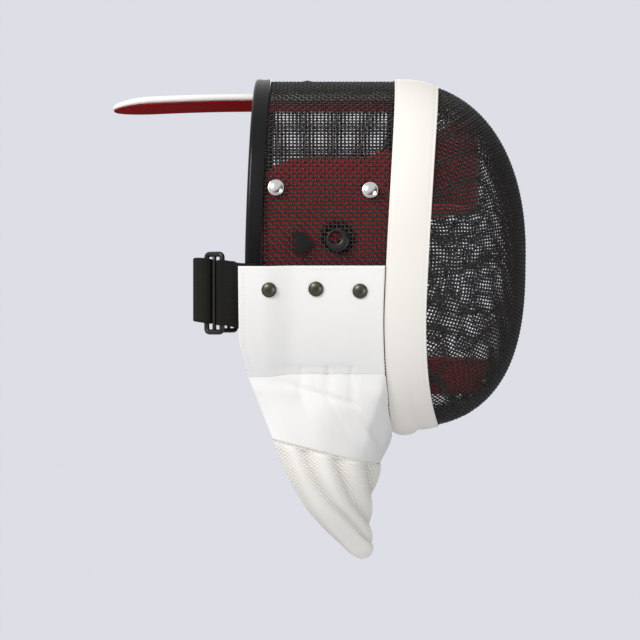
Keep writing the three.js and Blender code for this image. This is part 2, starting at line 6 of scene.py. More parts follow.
import bmesh
import bpy
import numpy as np
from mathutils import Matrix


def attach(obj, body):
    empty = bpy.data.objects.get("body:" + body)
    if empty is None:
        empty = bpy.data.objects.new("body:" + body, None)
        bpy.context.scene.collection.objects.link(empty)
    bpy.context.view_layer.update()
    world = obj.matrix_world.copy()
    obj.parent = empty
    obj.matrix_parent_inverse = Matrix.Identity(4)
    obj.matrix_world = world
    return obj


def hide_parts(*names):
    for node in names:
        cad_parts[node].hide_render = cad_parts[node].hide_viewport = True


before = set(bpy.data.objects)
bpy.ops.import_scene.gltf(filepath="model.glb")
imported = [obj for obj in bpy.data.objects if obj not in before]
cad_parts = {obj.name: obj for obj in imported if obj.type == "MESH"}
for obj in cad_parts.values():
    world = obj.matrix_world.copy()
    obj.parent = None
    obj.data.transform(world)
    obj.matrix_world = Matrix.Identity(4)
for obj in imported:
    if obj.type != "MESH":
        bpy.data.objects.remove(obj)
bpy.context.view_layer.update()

# ------------------------------------------------------------------ studio
# The mask is seen from its right side by a level camera 1.3 m away, against a pale floor and an
# even pale room, with one large soft lamp high on the left and a weaker one low on the right.
scene = bpy.context.scene
scene.view_settings.view_transform = "Standard"
ROOM_COLOUR = (0.723, 0.730, 0.791, 1.0)  # the pale wall behind the mask
ROOM_DARK, ROOM_BRIGHT = (0.08, 0.08, 0.085, 1.0), (0.70, 0.70, 0.70, 1.0)  # light on the mask
BRIGHT_SIDE = (-0.60, -0.12, 0.79)  # the bright half of the room: left and above
CAMERA_DISTANCE, CAMERA_HEIGHT = 1.3, -0.1725
VIEW_WIDTH = 0.5197  # width of the view at the mid-plane
FLOOR_HEIGHT, FLOOR_HALF = -1.0, 1.5

camera_data = bpy.data.cameras.new("camera")
camera_data.lens = camera_data.sensor_width * CAMERA_DISTANCE / VIEW_WIDTH
camera = bpy.data.objects.new("camera", camera_data)
camera.location = (0, -CAMERA_DISTANCE, CAMERA_HEIGHT)
camera.rotation_euler = (math.pi / 2, 0, 0)
scene.collection.objects.link(camera)
scene.camera = camera

world = bpy.data.worlds.new("room")
world.use_nodes = True
world.node_tree.nodes["Background"].inputs["Color"].default_value = ROOM_COLOUR
room_light = world.node_tree.nodes.new("ShaderNodeBackground")
room_place = world.node_tree.nodes.new("ShaderNodeTexCoord")
room_side = world.node_tree.nodes.new("ShaderNodeVectorMath")
room_side.operation = "DOT_PRODUCT"
room_side.inputs[1].default_value = BRIGHT_SIDE
room_ramp = world.node_tree.nodes.new("ShaderNodeValToRGB")
room_ramp.color_ramp.elements[0].position, room_ramp.color_ramp.elements[0].color = 0.44, ROOM_DARK
room_ramp.color_ramp.elements[1].position, room_ramp.color_ramp.elements[1].color = 0.60, ROOM_BRIGHT
room_half = world.node_tree.nodes.new("ShaderNodeMath")
room_half.operation = "MULTIPLY_ADD"
room_half.inputs[1].default_value = room_half.inputs[2].default_value = 0.5
world.node_tree.links.new(room_place.outputs["Generated"], room_side.inputs[0])
world.node_tree.links.new(room_side.outputs["Value"], room_half.inputs[0])
world.node_tree.links.new(room_half.outputs[0], room_ramp.inputs[0])
world.node_tree.links.new(room_ramp.outputs[0], room_light.inputs["Color"])
room_rays = world.node_tree.nodes.new("ShaderNodeLightPath")
room_mix = world.node_tree.nodes.new("ShaderNodeMixShader")
world.node_tree.links.new(room_rays.outputs["Is Camera Ray"], room_mix.inputs[0])
world.node_tree.links.new(room_light.outputs[0], room_mix.inputs[1])
world.node_tree.links.new(world.node_tree.nodes["Background"].outputs[0], room_mix.inputs[2])
world.node_tree.links.new(room_mix.outputs[0], world.node_tree.nodes["World Output"].inputs["Surface"])
scene.world = world


def soft_lamp(name, place, size, watts, aim=(0.0, 0.0, -0.17)):
    """A square area lamp at a place, turned to face the mask."""
    data = bpy.data.lights.new(name, "AREA")
    data.size, data.energy, data.color = size, watts, (1.0, 0.985, 0.96)
    lamp = bpy.data.objects.new(name, data)
    lamp.location = place
    toward = np.subtract(aim, place)
    lamp.rotation_euler = (
        math.atan2(math.hypot(toward[0], toward[1]), -toward[2]),
        0,
        math.atan2(toward[1], toward[0]) - math.pi / 2,
    )
    scene.collection.objects.link(lamp)


soft_lamp("key_lamp", (-1.1, -1.5, 0.9), 0.8, 27)
soft_lamp("fill_lamp", (1.3, -1.3, -0.5), 0.9, 9)
soft_lamp("back_lamp", (0.6, 1.8, 0.3), 1.2, 14)


def material_nodes(name, roughness=0.5, metallic=0.0):
    """A new material with its nodes, its links and its surface shader."""
    material = bpy.data.materials.new(name)
    material.use_nodes = True
    nodes, links = material.node_tree.nodes, material.node_tree.links
    surface = nodes["Principled BSDF"]
    surface.inputs["Roughness"].default_value = roughness
    surface.inputs["Metallic"].default_value = metallic
    return material, nodes, links, surface


def group_nodes(name, inputs, outputs):
    """A new shader node group; inputs and outputs map a socket's name to its type and value."""
    group = bpy.data.node_groups.new(name, "ShaderNodeTree")
    for socket, (kind, value) in inputs.items():
        made = group.interface.new_socket(socket, in_out="INPUT", socket_type=kind)
        made.default_value = value
    for socket, kind in outputs.items():
        group.interface.new_socket(socket, in_out="OUTPUT", socket_type=kind)
    source = group.nodes.new("NodeGroupInput")
    sink = group.nodes.new("NodeGroupOutput")
    return group, group.nodes, group.links, source.outputs, sink.inputs


def math_node(nodes, links, operation, first, second):
    """A maths node on two values or sockets; returns its output."""
    node = nodes.new("ShaderNodeMath")
    node.operation = operation
    for k, value in enumerate((first, second)):
        if isinstance(value, (int, float)):
            node.inputs[k].default_value = value
        else:
            links.new(value, node.inputs[k])
    return node.outputs[0]


def mix_colour(nodes, links, factor, first, second):
    """A colour between two colours or sockets, by a factor socket."""
    node = nodes.new("ShaderNodeMix")
    node.data_type = "RGBA"
    links.new(factor, node.inputs[0])
    for k, value in ((6, first), (7, second)):
        if isinstance(value, tuple):
            node.inputs[k].default_value = value
        else:
            links.new(value, node.inputs[k])
    return node.outputs[2]


# Uneven colour and a fine grain, in metres on the object: used by enamel, plastic and cloth.
MOTTLE, m_nodes, m_links, m_in, m_out = group_nodes(
    "uneven_finish",
    {
        "Color": ("NodeSocketColor", (0.8, 0.8, 0.8, 1.0)),
        "Worn Color": ("NodeSocketColor", (0.6, 0.6, 0.6, 1.0)),
        "Patch Scale": ("NodeSocketFloat", 30.0),
        "Grain Scale": ("NodeSocketFloat", 900.0),
        "Wear": ("NodeSocketFloat", 0.3),
        "Roughness": ("NodeSocketFloat", 0.5),
    },
    {"Color": "NodeSocketColor", "Roughness": "NodeSocketFloat", "Height": "NodeSocketFloat"},
)
m_place = m_nodes.new("ShaderNodeTexCoord")
m_patch = m_nodes.new("ShaderNodeTexNoise")
m_grain = m_nodes.new("ShaderNodeTexNoise")
for m_noise, m_scale in ((m_patch, "Patch Scale"), (m_grain, "Grain Scale")):
    m_links.new(m_place.outputs["Object"], m_noise.inputs["Vector"])
    m_links.new(m_in[m_scale], m_noise.inputs["Scale"])
m_share = math_node(m_nodes, m_links, "MULTIPLY", m_patch.outputs[0], m_in["Wear"])
m_links.new(mix_colour(m_nodes, m_links, m_share, m_in["Color"], m_in["Worn Color"]), m_out["Color"])
m_uneven = math_node(m_nodes, m_links, "MULTIPLY", m_share, 0.35)
m_links.new(math_node(m_nodes, m_links, "ADD", m_in["Roughness"], m_uneven), m_out["Roughness"])
m_links.new(m_grain.outputs[0], m_out["Height"])


def finish(name, colour, worn, roughness, patch=30.0, grain=900.0, wear=0.4, depth=0.00003,
           metallic=0.0, sheen=0.0, coat=0.0, gloss=0.5):
    """A material with uneven colour and a fine grain in relief; returns its parts as well."""
    material, nodes, links, surface = material_nodes(name, roughness, metallic)
    node = nodes.new("ShaderNodeGroup")
    node.node_tree = MOTTLE
    node.inputs["Color"].default_value = (*colour, 1.0)
    node.inputs["Worn Color"].default_value = (*worn, 1.0)
    node.inputs["Patch Scale"].default_value = patch
    node.inputs["Grain Scale"].default_value = grain
    node.inputs["Wear"].default_value = wear
    node.inputs["Roughness"].default_value = roughness
    links.new(node.outputs["Color"], surface.inputs["Base Color"])
    links.new(node.outputs["Roughness"], surface.inputs["Roughness"])
    relief = nodes.new("ShaderNodeBump")
    relief.inputs["Distance"].default_value = depth
    links.new(node.outputs["Height"], relief.inputs["Height"])
    links.new(relief.outputs[0], surface.inputs["Normal"])
    surface.inputs["Sheen Weight"].default_value = sheen
    surface.inputs["Coat Weight"].default_value = coat
    surface.inputs["Coat Roughness"].default_value = 0.12
    surface.inputs["Specular IOR Level"].default_value = gloss
    return material, nodes, links, surface, node, relief


floor_material = finish("floor_paint", (0.50, 0.505, 0.54), (0.47, 0.475, 0.51), 0.9, patch=3.0, wear=0.3)[0]
floor_mesh = bpy.data.meshes.new("floor")
floor_corners = np.array([(-1, -1), (1, -1), (1, 1), (-1, 1)]) * FLOOR_HALF
floor_mesh.from_pydata([(x, y, FLOOR_HEIGHT) for x, y in floor_corners], [], [(0, 1, 2, 3)])
floor = bpy.data.objects.new("floor", floor_mesh)
floor.data.materials.append(floor_material)
scene.collection.objects.link(floor)

# ------------------------------------------------------------------ woven wire mesh
# The mask's body: 1 mm steel wire woven over and under every 3 mm, enamelled black. The sides are
# one sheet bent over the head, the face bowl is another pressed to shape, its crossings skewed
# towards the corners; the band covers the joint between them.
CENTRE_Z = -122.5  # level of the widest line
HALF_WIDTH, RISE, DROP = 102.0, 141.0, 136.4
SECTION_POWER, SIDE_POWER, CROWN_POWER, CHIN_POWER = 2.2, 2.25, 2.28, 2.71
EGG, EGG_HEIGHT = 0.12, 140.0
DOME_START, DOME_DEPTH = 60.0, 104.7
REAR_X, REAR_LEAN = -48.4, 5.0
REAR_LOW_Z, JOINT_LOW_Z, JOINT_X = -210.5, -245.0, 71.0
BAND_REAR_X, BAND_LEVEL, CROWN_BOW, CHIN_BOW = 48.3, -45.0, 11.0, 9.2
BAND_WIDTH, WIDER_AT_TOP, WIDER_AT_CHIN = 31.5, 2.5, 6.0
PITCH, WIRE_RADIUS, CRIMP = 3.0, 0.65, 0.58
NET_REST = 3.2  # pitch that the pressed wires are eased towards
MESH_JOINT = 12.0  # the two sheets of mesh meet this far in front of the band's rear edge


def signed_power(value, power):
    """The size of a value raised to a power, with the value's own sign."""
    return np.sign(value) * np.abs(value) ** power


def ease(value):
    """A smooth step from 0 to 1 while the value goes from 0 to 1."""
    value = np.clip(value, 0, 1)
    return value * value * (3 - 2 * value)


def blend(first, second, share):
    """The value at a share of the way from the first to the second."""
    return first + (second - first) * share


def section_height(t):
    """Height above the widest line at section angle t: a superellipse, taller above than below."""
    s = np.sin(t)
    return signed_power(s, 2 / SECTION_POWER) * np.where(s > 0, RISE, DROP)


def section_angle(z):
    """The left-hand section angle whose height is z."""
    h = np.asarray(z, float) - CENTRE_Z
    share = np.minimum(1, np.abs(h) / np.where(h > 0, RISE, DROP))
    return np.sign(h) * np.arcsin(share ** (SECTION_POWER / 2))


def dome_power(t):
    """Power of the dome's curve from back to front, between the side's and the crown's or chin's."""
    s = np.sin(t)
    return blend(SIDE_POWER, np.where(s > 0, CROWN_POWER, CHIN_POWER), s * s)


def hull(x, t):
    """Middle surface of the mesh: the section at angle t, shrunk by a superellipse along x."""
    x, t = np.broadcast_arrays(np.asarray(x, float), np.asarray(t, float))
    along = np.clip((x - DOME_START) / DOME_DEPTH, 0, 1)
    power = dome_power(t)
    share = (1 - along**power) ** (1 / power)
    h = section_height(t)
    y = signed_power(np.cos(t), 2 / SECTION_POWER) * HALF_WIDTH * (1 + EGG * h / EGG_HEIGHT)
    return np.stack([x, y * share, CENTRE_Z + h * share], -1)


def half_width(z):
    """Half width of the section at height z."""
    return hull(0.0, section_angle(z))[..., 1]


def band_rear(h):
    """Rear edge of the band where the section's height is h: bowed back at the cheeks."""
    up = np.clip((h - BAND_LEVEL) / (RISE - BAND_LEVEL), 0, 1)
    down = np.clip((BAND_LEVEL - h) / (BAND_LEVEL + DROP), 0, 1)
    return BAND_REAR_X + CROWN_BOW * up**1.4 + CHIN_BOW * down**2


def grid_normals(points, ring=False):
    """Unit normals of a grid of points, from the steps along its rows and columns."""
    if ring:
        along = np.roll(points, -1, 0) - np.roll(points, 1, 0)
    else:
        along = np.gradient(points, axis=0)
    across = np.gradient(points, axis=1)
    normal = np.cross(along, across)
    length = np.linalg.norm(normal, axis=-1, keepdims=True)
    return normal / np.maximum(length, 1e-9)


def outward_normals(points, ring=False):
    """Grid normals turned to point away from the mask's long axis."""
    normal = grid_normals(points, ring)
    away = points - np.array([DOME_START, 0, CENTRE_Z])
    away[..., 0] = np.maximum(away[..., 0], 0)
    return normal * np.sign(np.sum(normal * away, -1).mean())


def grid_faces(rows, columns, row_ring=False, column_ring=False):
    """Four-sided faces of a grid of points, numbered row by row, closed along a ring."""
    i = np.arange(rows if row_ring else rows - 1)[:, None]
    j = np.arange(columns if column_ring else columns - 1)[None]
    i_next, j_next = (i + 1) % rows, (j + 1) % columns
    corners = [i * columns + j, i * columns + j_next, i_next * columns + j_next, i_next * columns + j]
    return np.stack(np.broadcast_arrays(*corners), -1).reshape(-1, 4)


def make_piece(name, points, faces, material, nodes=(), uv=None, relief=None):
    """A mesh piece from millimetre points and four-sided faces. Doubled points are merged, the
    faces are turned so that the volume inside is positive, and uv is a value pair for each point."""
    points = np.asarray(points, float).reshape(-1, 3)
    a, b, c, d = (points[faces[:, k]] for k in range(4))
    if np.sum(np.cross(b - a, c - a) * a) + np.sum(np.cross(c - a, d - a) * a) < 0:
        faces = faces[:, ::-1]
    mesh = bpy.data.meshes.new(name)
    mesh.vertices.add(len(points))
    mesh.vertices.foreach_set("co", (points * 0.001).ravel())
    mesh.loops.add(faces.size)
    mesh.loops.foreach_set("vertex_index", faces.ravel().astype(np.int32))
    mesh.polygons.add(len(faces))
    mesh.polygons.foreach_set("loop_start", np.arange(0, faces.size, 4, dtype=np.int32))
    mesh.update(calc_edges=True)
    for layer_name, values in (("cut", uv), ("relief", relief)):
        if values is not None:
            layer = mesh.uv_layers.new(name=layer_name)
            layer.data.foreach_set("uv", values.reshape(-1, 2)[faces.ravel()].ravel())
    edit = bmesh.new()
    edit.from_mesh(mesh)
    bmesh.ops.remove_doubles(edit, verts=edit.verts, dist=1e-6)
    bmesh.ops.dissolve_degenerate(edit, edges=edit.edges, dist=1e-7)
    edit.to_mesh(mesh)
    edit.free()
    mesh.polygons.foreach_set("use_smooth", np.ones(len(mesh.polygons), bool))
    mesh.materials.append(material)
    piece = bpy.data.objects.new(name, mesh)
    scene.collection.objects.link(piece)
    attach(piece, "root")
    if nodes:
        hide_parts(*nodes)
    return piece


def wire_rings(lines, outward, keep, radius, sides=4):
    """Round wires along lines[wire, step], kept where keep is true and drawn to a point at each
    kept end. A ring of `sides` points lies across each step, in the plane of the outward
    direction and of the side direction. Returns the points in use and their faces."""
    along = np.gradient(lines, axis=1)
    along /= np.linalg.norm(along, axis=-1, keepdims=True)
    side = np.cross(along, outward)
    side /= np.linalg.norm(side, axis=-1, keepdims=True)
    up = np.cross(side, along)
    both = keep.copy()
    both[:, 1:] &= keep[:, :-1]
    both[:, :-1] &= keep[:, 1:]
    both[:, 0] = both[:, -1] = False
    size = np.where(both, radius, 1e-4)[..., None, None]
    turn = 2 * np.pi * np.arange(sides) / sides
    ring = np.cos(turn)[:, None] * up[..., None, :] + np.sin(turn)[:, None] * side[..., None, :]
    points = lines[..., None, :] + size * ring
    wires, steps = keep.shape
    start = (np.arange(wires)[:, None] * steps + np.arange(steps - 1))[keep[:, 1:] & keep[:, :-1]]
    k = np.arange(sides)
    base = start[:, None] * sides
    faces = np.stack([base + k, base + (k + 1) % sides, base + sides + (k + 1) % sides,
                      base + sides + k], -1).reshape(-1, 4)
    used, numbered = np.unique(faces, return_inverse=True)
    return points.reshape(-1, 3)[used], numbered.reshape(-1, 4)


def woven(points, sign):
    """Wire centre lines along the second axis of a grid of crossings: each goes over and under,
    with one point on each crossing and one between. Returns lines and outward directions."""
    normal = outward_normals(points)
    i, j = np.indices(points.shape[:2])
    raised = points + normal * (sign * CRIMP * (-1.0) ** (i + j))[..., None]
    steps = 2 * points.shape[1] - 1
    lines = np.empty((points.shape[0], steps, 3))
    lines[:, ::2] = raised
    lines[:, 1::2] = (points[:, 1:] + points[:, :-1]) / 2
    outward = np.empty_like(lines)
    outward[:, ::2] = normal
    outward[:, 1::2] = (normal[:, 1:] + normal[:, :-1]) / 2
    return lines, outward


def surface_share(points):
    """How far out points are from the middle surface, 1 being on it, and their section height."""
    x, y, h = points[..., 0] - DOME_START, points[..., 1], points[..., 2] - CENTRE_Z
    tall = np.abs(h) / np.where(h > 0, RISE, DROP)
    r = np.hypot(np.abs(y) / HALF_WIDTH, tall) + 1e-9
    for _ in range(4):
        wide = HALF_WIDTH * (1 + EGG * np.clip(h / r, -DROP, RISE) / EGG_HEIGHT)
        r = ((np.abs(y) / wide) ** SECTION_POWER + tall**SECTION_POWER) ** (1 / SECTION_POWER) + 1e-9
    lift = np.clip(tall / r, 0, 1) ** SECTION_POWER
    power = blend(SIDE_POWER, np.where(h > 0, CROWN_POWER, CHIN_POWER), lift)
    along = np.maximum(x, 0) / DOME_DEPTH
    return (r**power + along**power) ** (1 / power), r, h / r


def pressed_net(half_across, half_up, rounds):
    """Crossings of the face bowl's mesh. A square net is laid out from the nose by distance and
    direction, then its wires are eased back to their pitch on the surface, as a pressed sheet."""
    i, j = np.meshgrid(np.arange(-half_across, half_across + 1), np.arange(-half_up, half_up + 1),
                       indexing="ij")
    far = np.hypot(i, j) * PITCH + 1e-6
    cosine, sine = i * PITCH / far, j * PITCH / far
    tall = np.where(sine > 0, RISE, DROP)
    t = np.arctan2(signed_power(sine / tall, SECTION_POWER / 2),
                   signed_power(cosine / HALF_WIDTH, SECTION_POWER / 2))
    reach = np.linalg.norm(hull(0.0, t)[..., 1:] - np.array([0, CENTRE_Z]), axis=-1)
    quarter = 0.27 * np.pi * np.sqrt(2 * (reach**2 + DOME_DEPTH**2)) * 1.02
    swing = np.minimum(far / quarter, 1) * np.pi / 2
    power = dome_power(t)
    x = DOME_START + DOME_DEPTH * np.cos(swing) ** (2 / power) - np.maximum(far - quarter, 0)
    points = hull(np.maximum(x, DOME_START), t)
    points[..., 0] = x
    for _ in range(rounds):
        shift = np.zeros_like(points)
        for axis, other, length, stiffness in ((0, 0, NET_REST, 0.25), (1, 0, NET_REST, 0.25),
                                               (0, 1, NET_REST * 1.414, 0.05), (0, -1, NET_REST * 1.414, 0.05)):
            if other == 0:
                first = (slice(None, -1), slice(None)) if axis == 0 else (slice(None), slice(None, -1))
                second = (slice(1, None), slice(None)) if axis == 0 else (slice(None), slice(1, None))
            else:
                first = (slice(None, -1), slice(None, -1) if other > 0 else slice(1, None))
                second = (slice(1, None), slice(1, None) if other > 0 else slice(None, -1))
            step = points[second] - points[first]
            size = np.linalg.norm(step, axis=-1, keepdims=True) + 1e-9
            pull = step * (stiffness * (1 - length / size))
            shift[first] += pull
            shift[second] -= pull
        points = points + shift
        centre = np.array([DOME_START, 0, CENTRE_Z])
        share, r, _ = surface_share(points)
        scale = np.where(points[..., 0] > DOME_START, share, r)[..., None]
        along = np.where(points[..., 0] > DOME_START, (points[..., 0] - DOME_START) / scale[..., 0],
                         points[..., 0] - DOME_START)
        points = centre + (points - centre) / scale
        points[..., 0] = DOME_START + along
    return points


enamel, e_nodes, e_links, e_surface, e_mottle, _ = finish(
    "black_enamel_wire", (0.005, 0.005, 0.005), (0.05, 0.05, 0.046), 0.27,
    patch=160.0, grain=2500.0, wear=0.5, depth=0.00002, gloss=0.45)


def lay_wires(crossings, inside, sign, names, node):
    """Wires along the second axis of a grid of crossings, kept where `inside` is true. The wires
    are shared out between the named pieces."""
    lines, outward = woven(crossings, sign)
    keep = np.zeros(lines.shape[:2], bool)
    keep[:, ::2] = inside
    keep[:, 1::2] = inside[:, 1:] & inside[:, :-1]
    for name, wires in zip(names, np.array_split(np.arange(len(lines)), len(names))):
        points, faces = wire_rings(lines[wires], outward[wires], keep[wires], WIRE_RADIUS)
        make_piece(name, points, faces, enamel, (node,))


net = pressed_net(62, 78, 700)
_, _, net_height = surface_share(net)
in_bowl = (net[..., 0] > band_rear(net_height) + MESH_JOINT) & (net[..., 0] > DOME_START - 8)
lay_wires(net.transpose(1, 0, 2), in_bowl.T, 1,
          ("face_mesh_cross_wires_lower", "face_mesh_cross_wires_upper"), "front_mesh")
lay_wires(net, in_bowl, -1, ("face_mesh_upright_wires_right", "face_mesh_upright_wires_left"), "front_mesh")

SIDE_LOW = float(section_angle(JOINT_LOW_Z))
fine_t = np.linspace(SIDE_LOW, np.pi - SIDE_LOW, 4001)
fine_run = np.concatenate([[0], np.cumsum(np.linalg.norm(np.diff(hull(0.0, fine_t), axis=0), axis=-1))])
side_t = np.interp(np.arange(0, fine_run[-1], PITCH), fine_run, fine_t)
side_x = np.arange(REAR_X - REAR_LEAN, JOINT_X + PITCH, PITCH)
side_grid = hull(side_x[:, None], side_t[None])
side_height = section_height(side_t)[None]
rear_edge = REAR_X - REAR_LEAN * (1 - np.maximum(np.sin(side_t), 0))[None]
side_low_z = blend(REAR_LOW_Z, JOINT_LOW_Z, (side_x[:, None] - REAR_X) / (JOINT_X - REAR_X))
on_side = (side_grid[..., 0] >= rear_edge) & (side_grid[..., 2] > side_low_z)
on_side &= side_grid[..., 0] < band_rear(side_height) + MESH_JOINT
lay_wires(side_grid, on_side, 1, ("side_mesh_arch_wires",), "rear_mesh")
lay_wires(side_grid.transpose(1, 0, 2), on_side.T, -1, ("side_mesh_long_wires",), "rear_mesh")

# ------------------------------------------------------------------ rear trim
# A glossy black plastic edging, extruded as a U and pushed over the cut rear edge of the side
# mesh. Its back is a round bead and its two lips grip the wires.
TRIM_LIP, TRIM_BEAD, TRIM_HALF, TRIM_SLOT = 10.0, 2.8, 2.8, 1.45

trim_plastic = finish("black_edging_plastic", (0.003, 0.003, 0.0035), (0.01, 0.01, 0.011), 0.2,
                      patch=60.0, wear=0.35, depth=0.00001, gloss=0.25)[0]


def trim_outline():
    """The U in its own plane: [along +X, outwards], round at the back, with rounded lips."""
    bead = np.radians(np.linspace(90, 270, 13))
    lip = np.radians(np.linspace(0, 90, 4))
    back = np.stack([TRIM_BEAD * np.cos(bead), TRIM_HALF * np.sin(bead)], -1)
    round_lip = np.stack([TRIM_LIP - 0.9 + 0.9 * np.cos(lip), TRIM_HALF - 0.9 + 0.9 * np.sin(lip)], -1)
    waist = np.array([[TRIM_LIP * 0.45, TRIM_HALF * 0.84]])
    upper = np.concatenate([[[TRIM_LIP, TRIM_SLOT]], round_lip, waist])
    return np.concatenate([[[-0.3, TRIM_SLOT]], upper, back, upper[::-1] * [1, -1], [[-0.3, -TRIM_SLOT]]])


trim_low = float(section_angle(REAR_LOW_Z))
trim_t = np.linspace(trim_low, np.pi - trim_low, 181)
trim_path = hull(REAR_X - REAR_LEAN * (1 - np.maximum(np.sin(trim_t), 0)), trim_t)
trim_out = np.gradient(trim_path, axis=0)[:, [0, 2, 1]] * np.array([0, 1, -1])
trim_out /= np.linalg.norm(trim_out, axis=-1, keepdims=True)
trim_out *= np.sign(np.sum(trim_out * (trim_path - [0, 0, CENTRE_Z])))
outline = trim_outline()
trim_points = (trim_path[:, None] + outline[None, :, :1] * np.array([1.0, 0, 0])
               + outline[None, :, 1:] * trim_out[:, None])
trim_faces = grid_faces(len(trim_path), len(outline), column_ring=True)
pairs = np.arange(len(outline) // 2 - 1)
cap = np.stack([pairs, pairs + 1, len(outline) - 2 - pairs, len(outline) - 1 - pairs], -1)
trim_end = (len(trim_path) - 1) * len(outline)
trim_faces = np.concatenate([trim_faces, cap, cap[:, ::-1] + trim_end])
make_piece("rear_edge_trim", trim_points, trim_faces, trim_plastic, ("rear_trim",))

# ------------------------------------------------------------------ inner pads
# Red fleece over foam, 9.5 mm thick: one pad inside each side mesh with a round recess at the ear,
# one round the forehead and one behind the chin. Each is sewn round its rim and plump between.
PAD_THICKNESS, PAD_INSET, PAD_RIM = 9.5, 4.6, 5.5
PAD_REAR_X, PAD_FRONT_X, PAD_TOP_Z, PAD_LOW_Z = -55.0, 56.0, -45.7, -190.0
PAD_CORNER_X, PAD_CORNER_RUN, PAD_CORNER_DROP, PAD_FRONT_RISE = -10.0, 46.0, 52.0, 8.0
EAR_X, EAR_Z, EAR_RADIUS, EAR_DEPTH = 14.3, -111.5, 13.6, 7.0

fleece, f_nodes, f_links, f_surface, f_mottle, f_relief = finish(
    "red_fleece", (0.80, 0.035, 0.045), (0.55, 0.02, 0.03), 0.85,
    patch=45.0, grain=700.0, wear=0.7, depth=0.0004, sheen=0.25)
f_surface.inputs["Sheen Roughness"].default_value = 0.5


def steps_with_rims(count, rim):
    """Places from 0 to 1, close together within a share `rim` of each end, even between."""
    curve = rim * (1 - np.cos(np.linspace(0, np.pi / 2, 6)))
    return np.concatenate([curve[:-1], np.linspace(rim, 1 - rim, count), 1 - curve[-2::-1]])


def runs(points, ring=False):
    """Distances from the start along each row and along each column of a grid of points."""
    down = np.linalg.norm(np.diff(points, axis=0), axis=-1)
    across = np.linalg.norm(np.diff(points, axis=1), axis=-1)
    return (np.concatenate([np.zeros((1, points.shape[1])), np.cumsum(down, 0)], 0),
            np.concatenate([np.zeros((points.shape[0], 1)), np.cumsum(across, 1)], 1))


def cloth_piece(name, middle, normal, low, high, rims, material, nodes, ring=False, relief=None):
    """A closed skin round a grid of points. `low` and `high` are its faces' heights along the
    normal; they are drawn together in a quarter ellipse within `rims` mm of the first row, last
    row, first column and last column, and a ring closes along its rows instead. `relief` is an
    optional value for each point, kept in a second map."""
    down, across = runs(middle)
    shape = np.ones(middle.shape[:2])
    for distance, rim in zip((down, down[-1:] - down, across, across[:, -1:] - across), rims):
        if rim:
            shape = shape * np.sqrt(1 - (1 - np.clip(distance / rim, 0, 1)) ** 2)
    low, high = np.broadcast_to(low, shape.shape), np.broadcast_to(high, shape.shape)
    centre, half = (low + high) / 2, (high - low) / 2 * shape
    top = middle + normal * (centre + half)[..., None]
    under = middle + normal * (centre - half)[..., None]
    rows, columns = middle.shape[:2]
    faces = grid_faces(rows, columns, row_ring=ring)
    faces = np.concatenate([faces, faces[:, ::-1] + rows * columns])
    uv = np.stack([across, down], -1) * 0.001
    if relief is not None:
        relief = np.stack([relief, 0 * relief], -1)
        relief = np.stack([relief, relief])
    return make_piece(name, np.stack([top, under]), faces, material, nodes, np.stack([uv, uv]), relief)


pad_turn = np.linspace(0, 2 * np.pi, 120, endpoint=False)
pad_reach = np.arange(0, 160, 0.5)
ray_x = EAR_X + np.cos(pad_turn)[:, None] * pad_reach
ray_z = EAR_Z + np.sin(pad_turn)[:, None] * pad_reach
pad_back = np.clip((PAD_CORNER_X - ray_x) / PAD_CORNER_RUN, 0, 1)
pad_top = (PAD_TOP_Z - PAD_CORNER_DROP * (1 - np.sqrt(1 - pad_back**2))
           + PAD_FRONT_RISE * ease((ray_x - 35) / 20))
pad_holds = (ray_x > PAD_REAR_X) & (ray_x < PAD_FRONT_X) & (ray_z > PAD_LOW_Z) & (ray_z < pad_top)
pad_outline = np.where(pad_holds, pad_reach, 0).max(1)
pad_outline = (np.roll(pad_outline, 1) + 2 * pad_outline + np.roll(pad_outline, -1)) / 4
pad_share = steps_with_rims(22, 0.1)[1:]
pad_outer = blend(EAR_RADIUS, pad_outline[:, None], pad_share)
pad_recess = np.array([0, 3, 6, 9, 11, 12, 12.6, 13.0, 13.3, EAR_RADIUS]) + 0 * pad_turn[:, None]
pad_radius = np.concatenate([pad_recess, pad_outer], 1)
pad_floor = EAR_DEPTH * (1 - ease((pad_radius - 12.4) / 1.6)) * (pad_radius < EAR_RADIUS + 1)
pad_lip = 2.2 * (1 - np.clip((pad_radius - EAR_RADIUS) / 3, 0, 1)) ** 2 * (pad_radius > 12.4)
pad_x = EAR_X + np.cos(pad_turn)[:, None] * pad_radius
pad_z = EAR_Z + np.sin(pad_turn)[:, None] * pad_radius
pad_middle = hull(pad_x, section_angle(pad_z))
pad_normal = outward_normals(pad_middle, ring=True)
pad_normal[:, 0] = pad_normal[:, 2].mean(0) / np.linalg.norm(pad_normal[:, 2].mean(0))
pad_normal[:, 1] = pad_normal[:, 0]
pad_wave = 0.5 * np.sin(pad_x / 9.0) * np.sin(pad_z / 11.0)
for pad_name, pad_side in (("left", np.array([1.0, 1, 1])), ("right", np.array([1.0, -1, 1]))):
    pad = cloth_piece(f"ear_pad_{pad_name}", pad_middle * pad_side, pad_normal * pad_side,
                      -PAD_INSET - PAD_THICKNESS + pad_wave * 0.5,
                      -PAD_INSET + np.minimum(pad_wave, 0) - np.maximum(pad_floor, pad_lip),
                      (0, 0, 0, PAD_RIM), fleece, (f"side_pad_{pad_name}",), ring=True)


# A thin black disc lies in each recess, punched with a hole behind the ear ring's: painted shade
# for the dark ear hole, where only shade falls.
EAR_SHADE_RADIUS, EAR_SHADE_HOLE, EAR_SHADE_HOLE_X, EAR_SHADE_HOLE_Z, EAR_SHADE_THICKNESS = 12.3, 4.4, 11.4, -111.0, 0.8
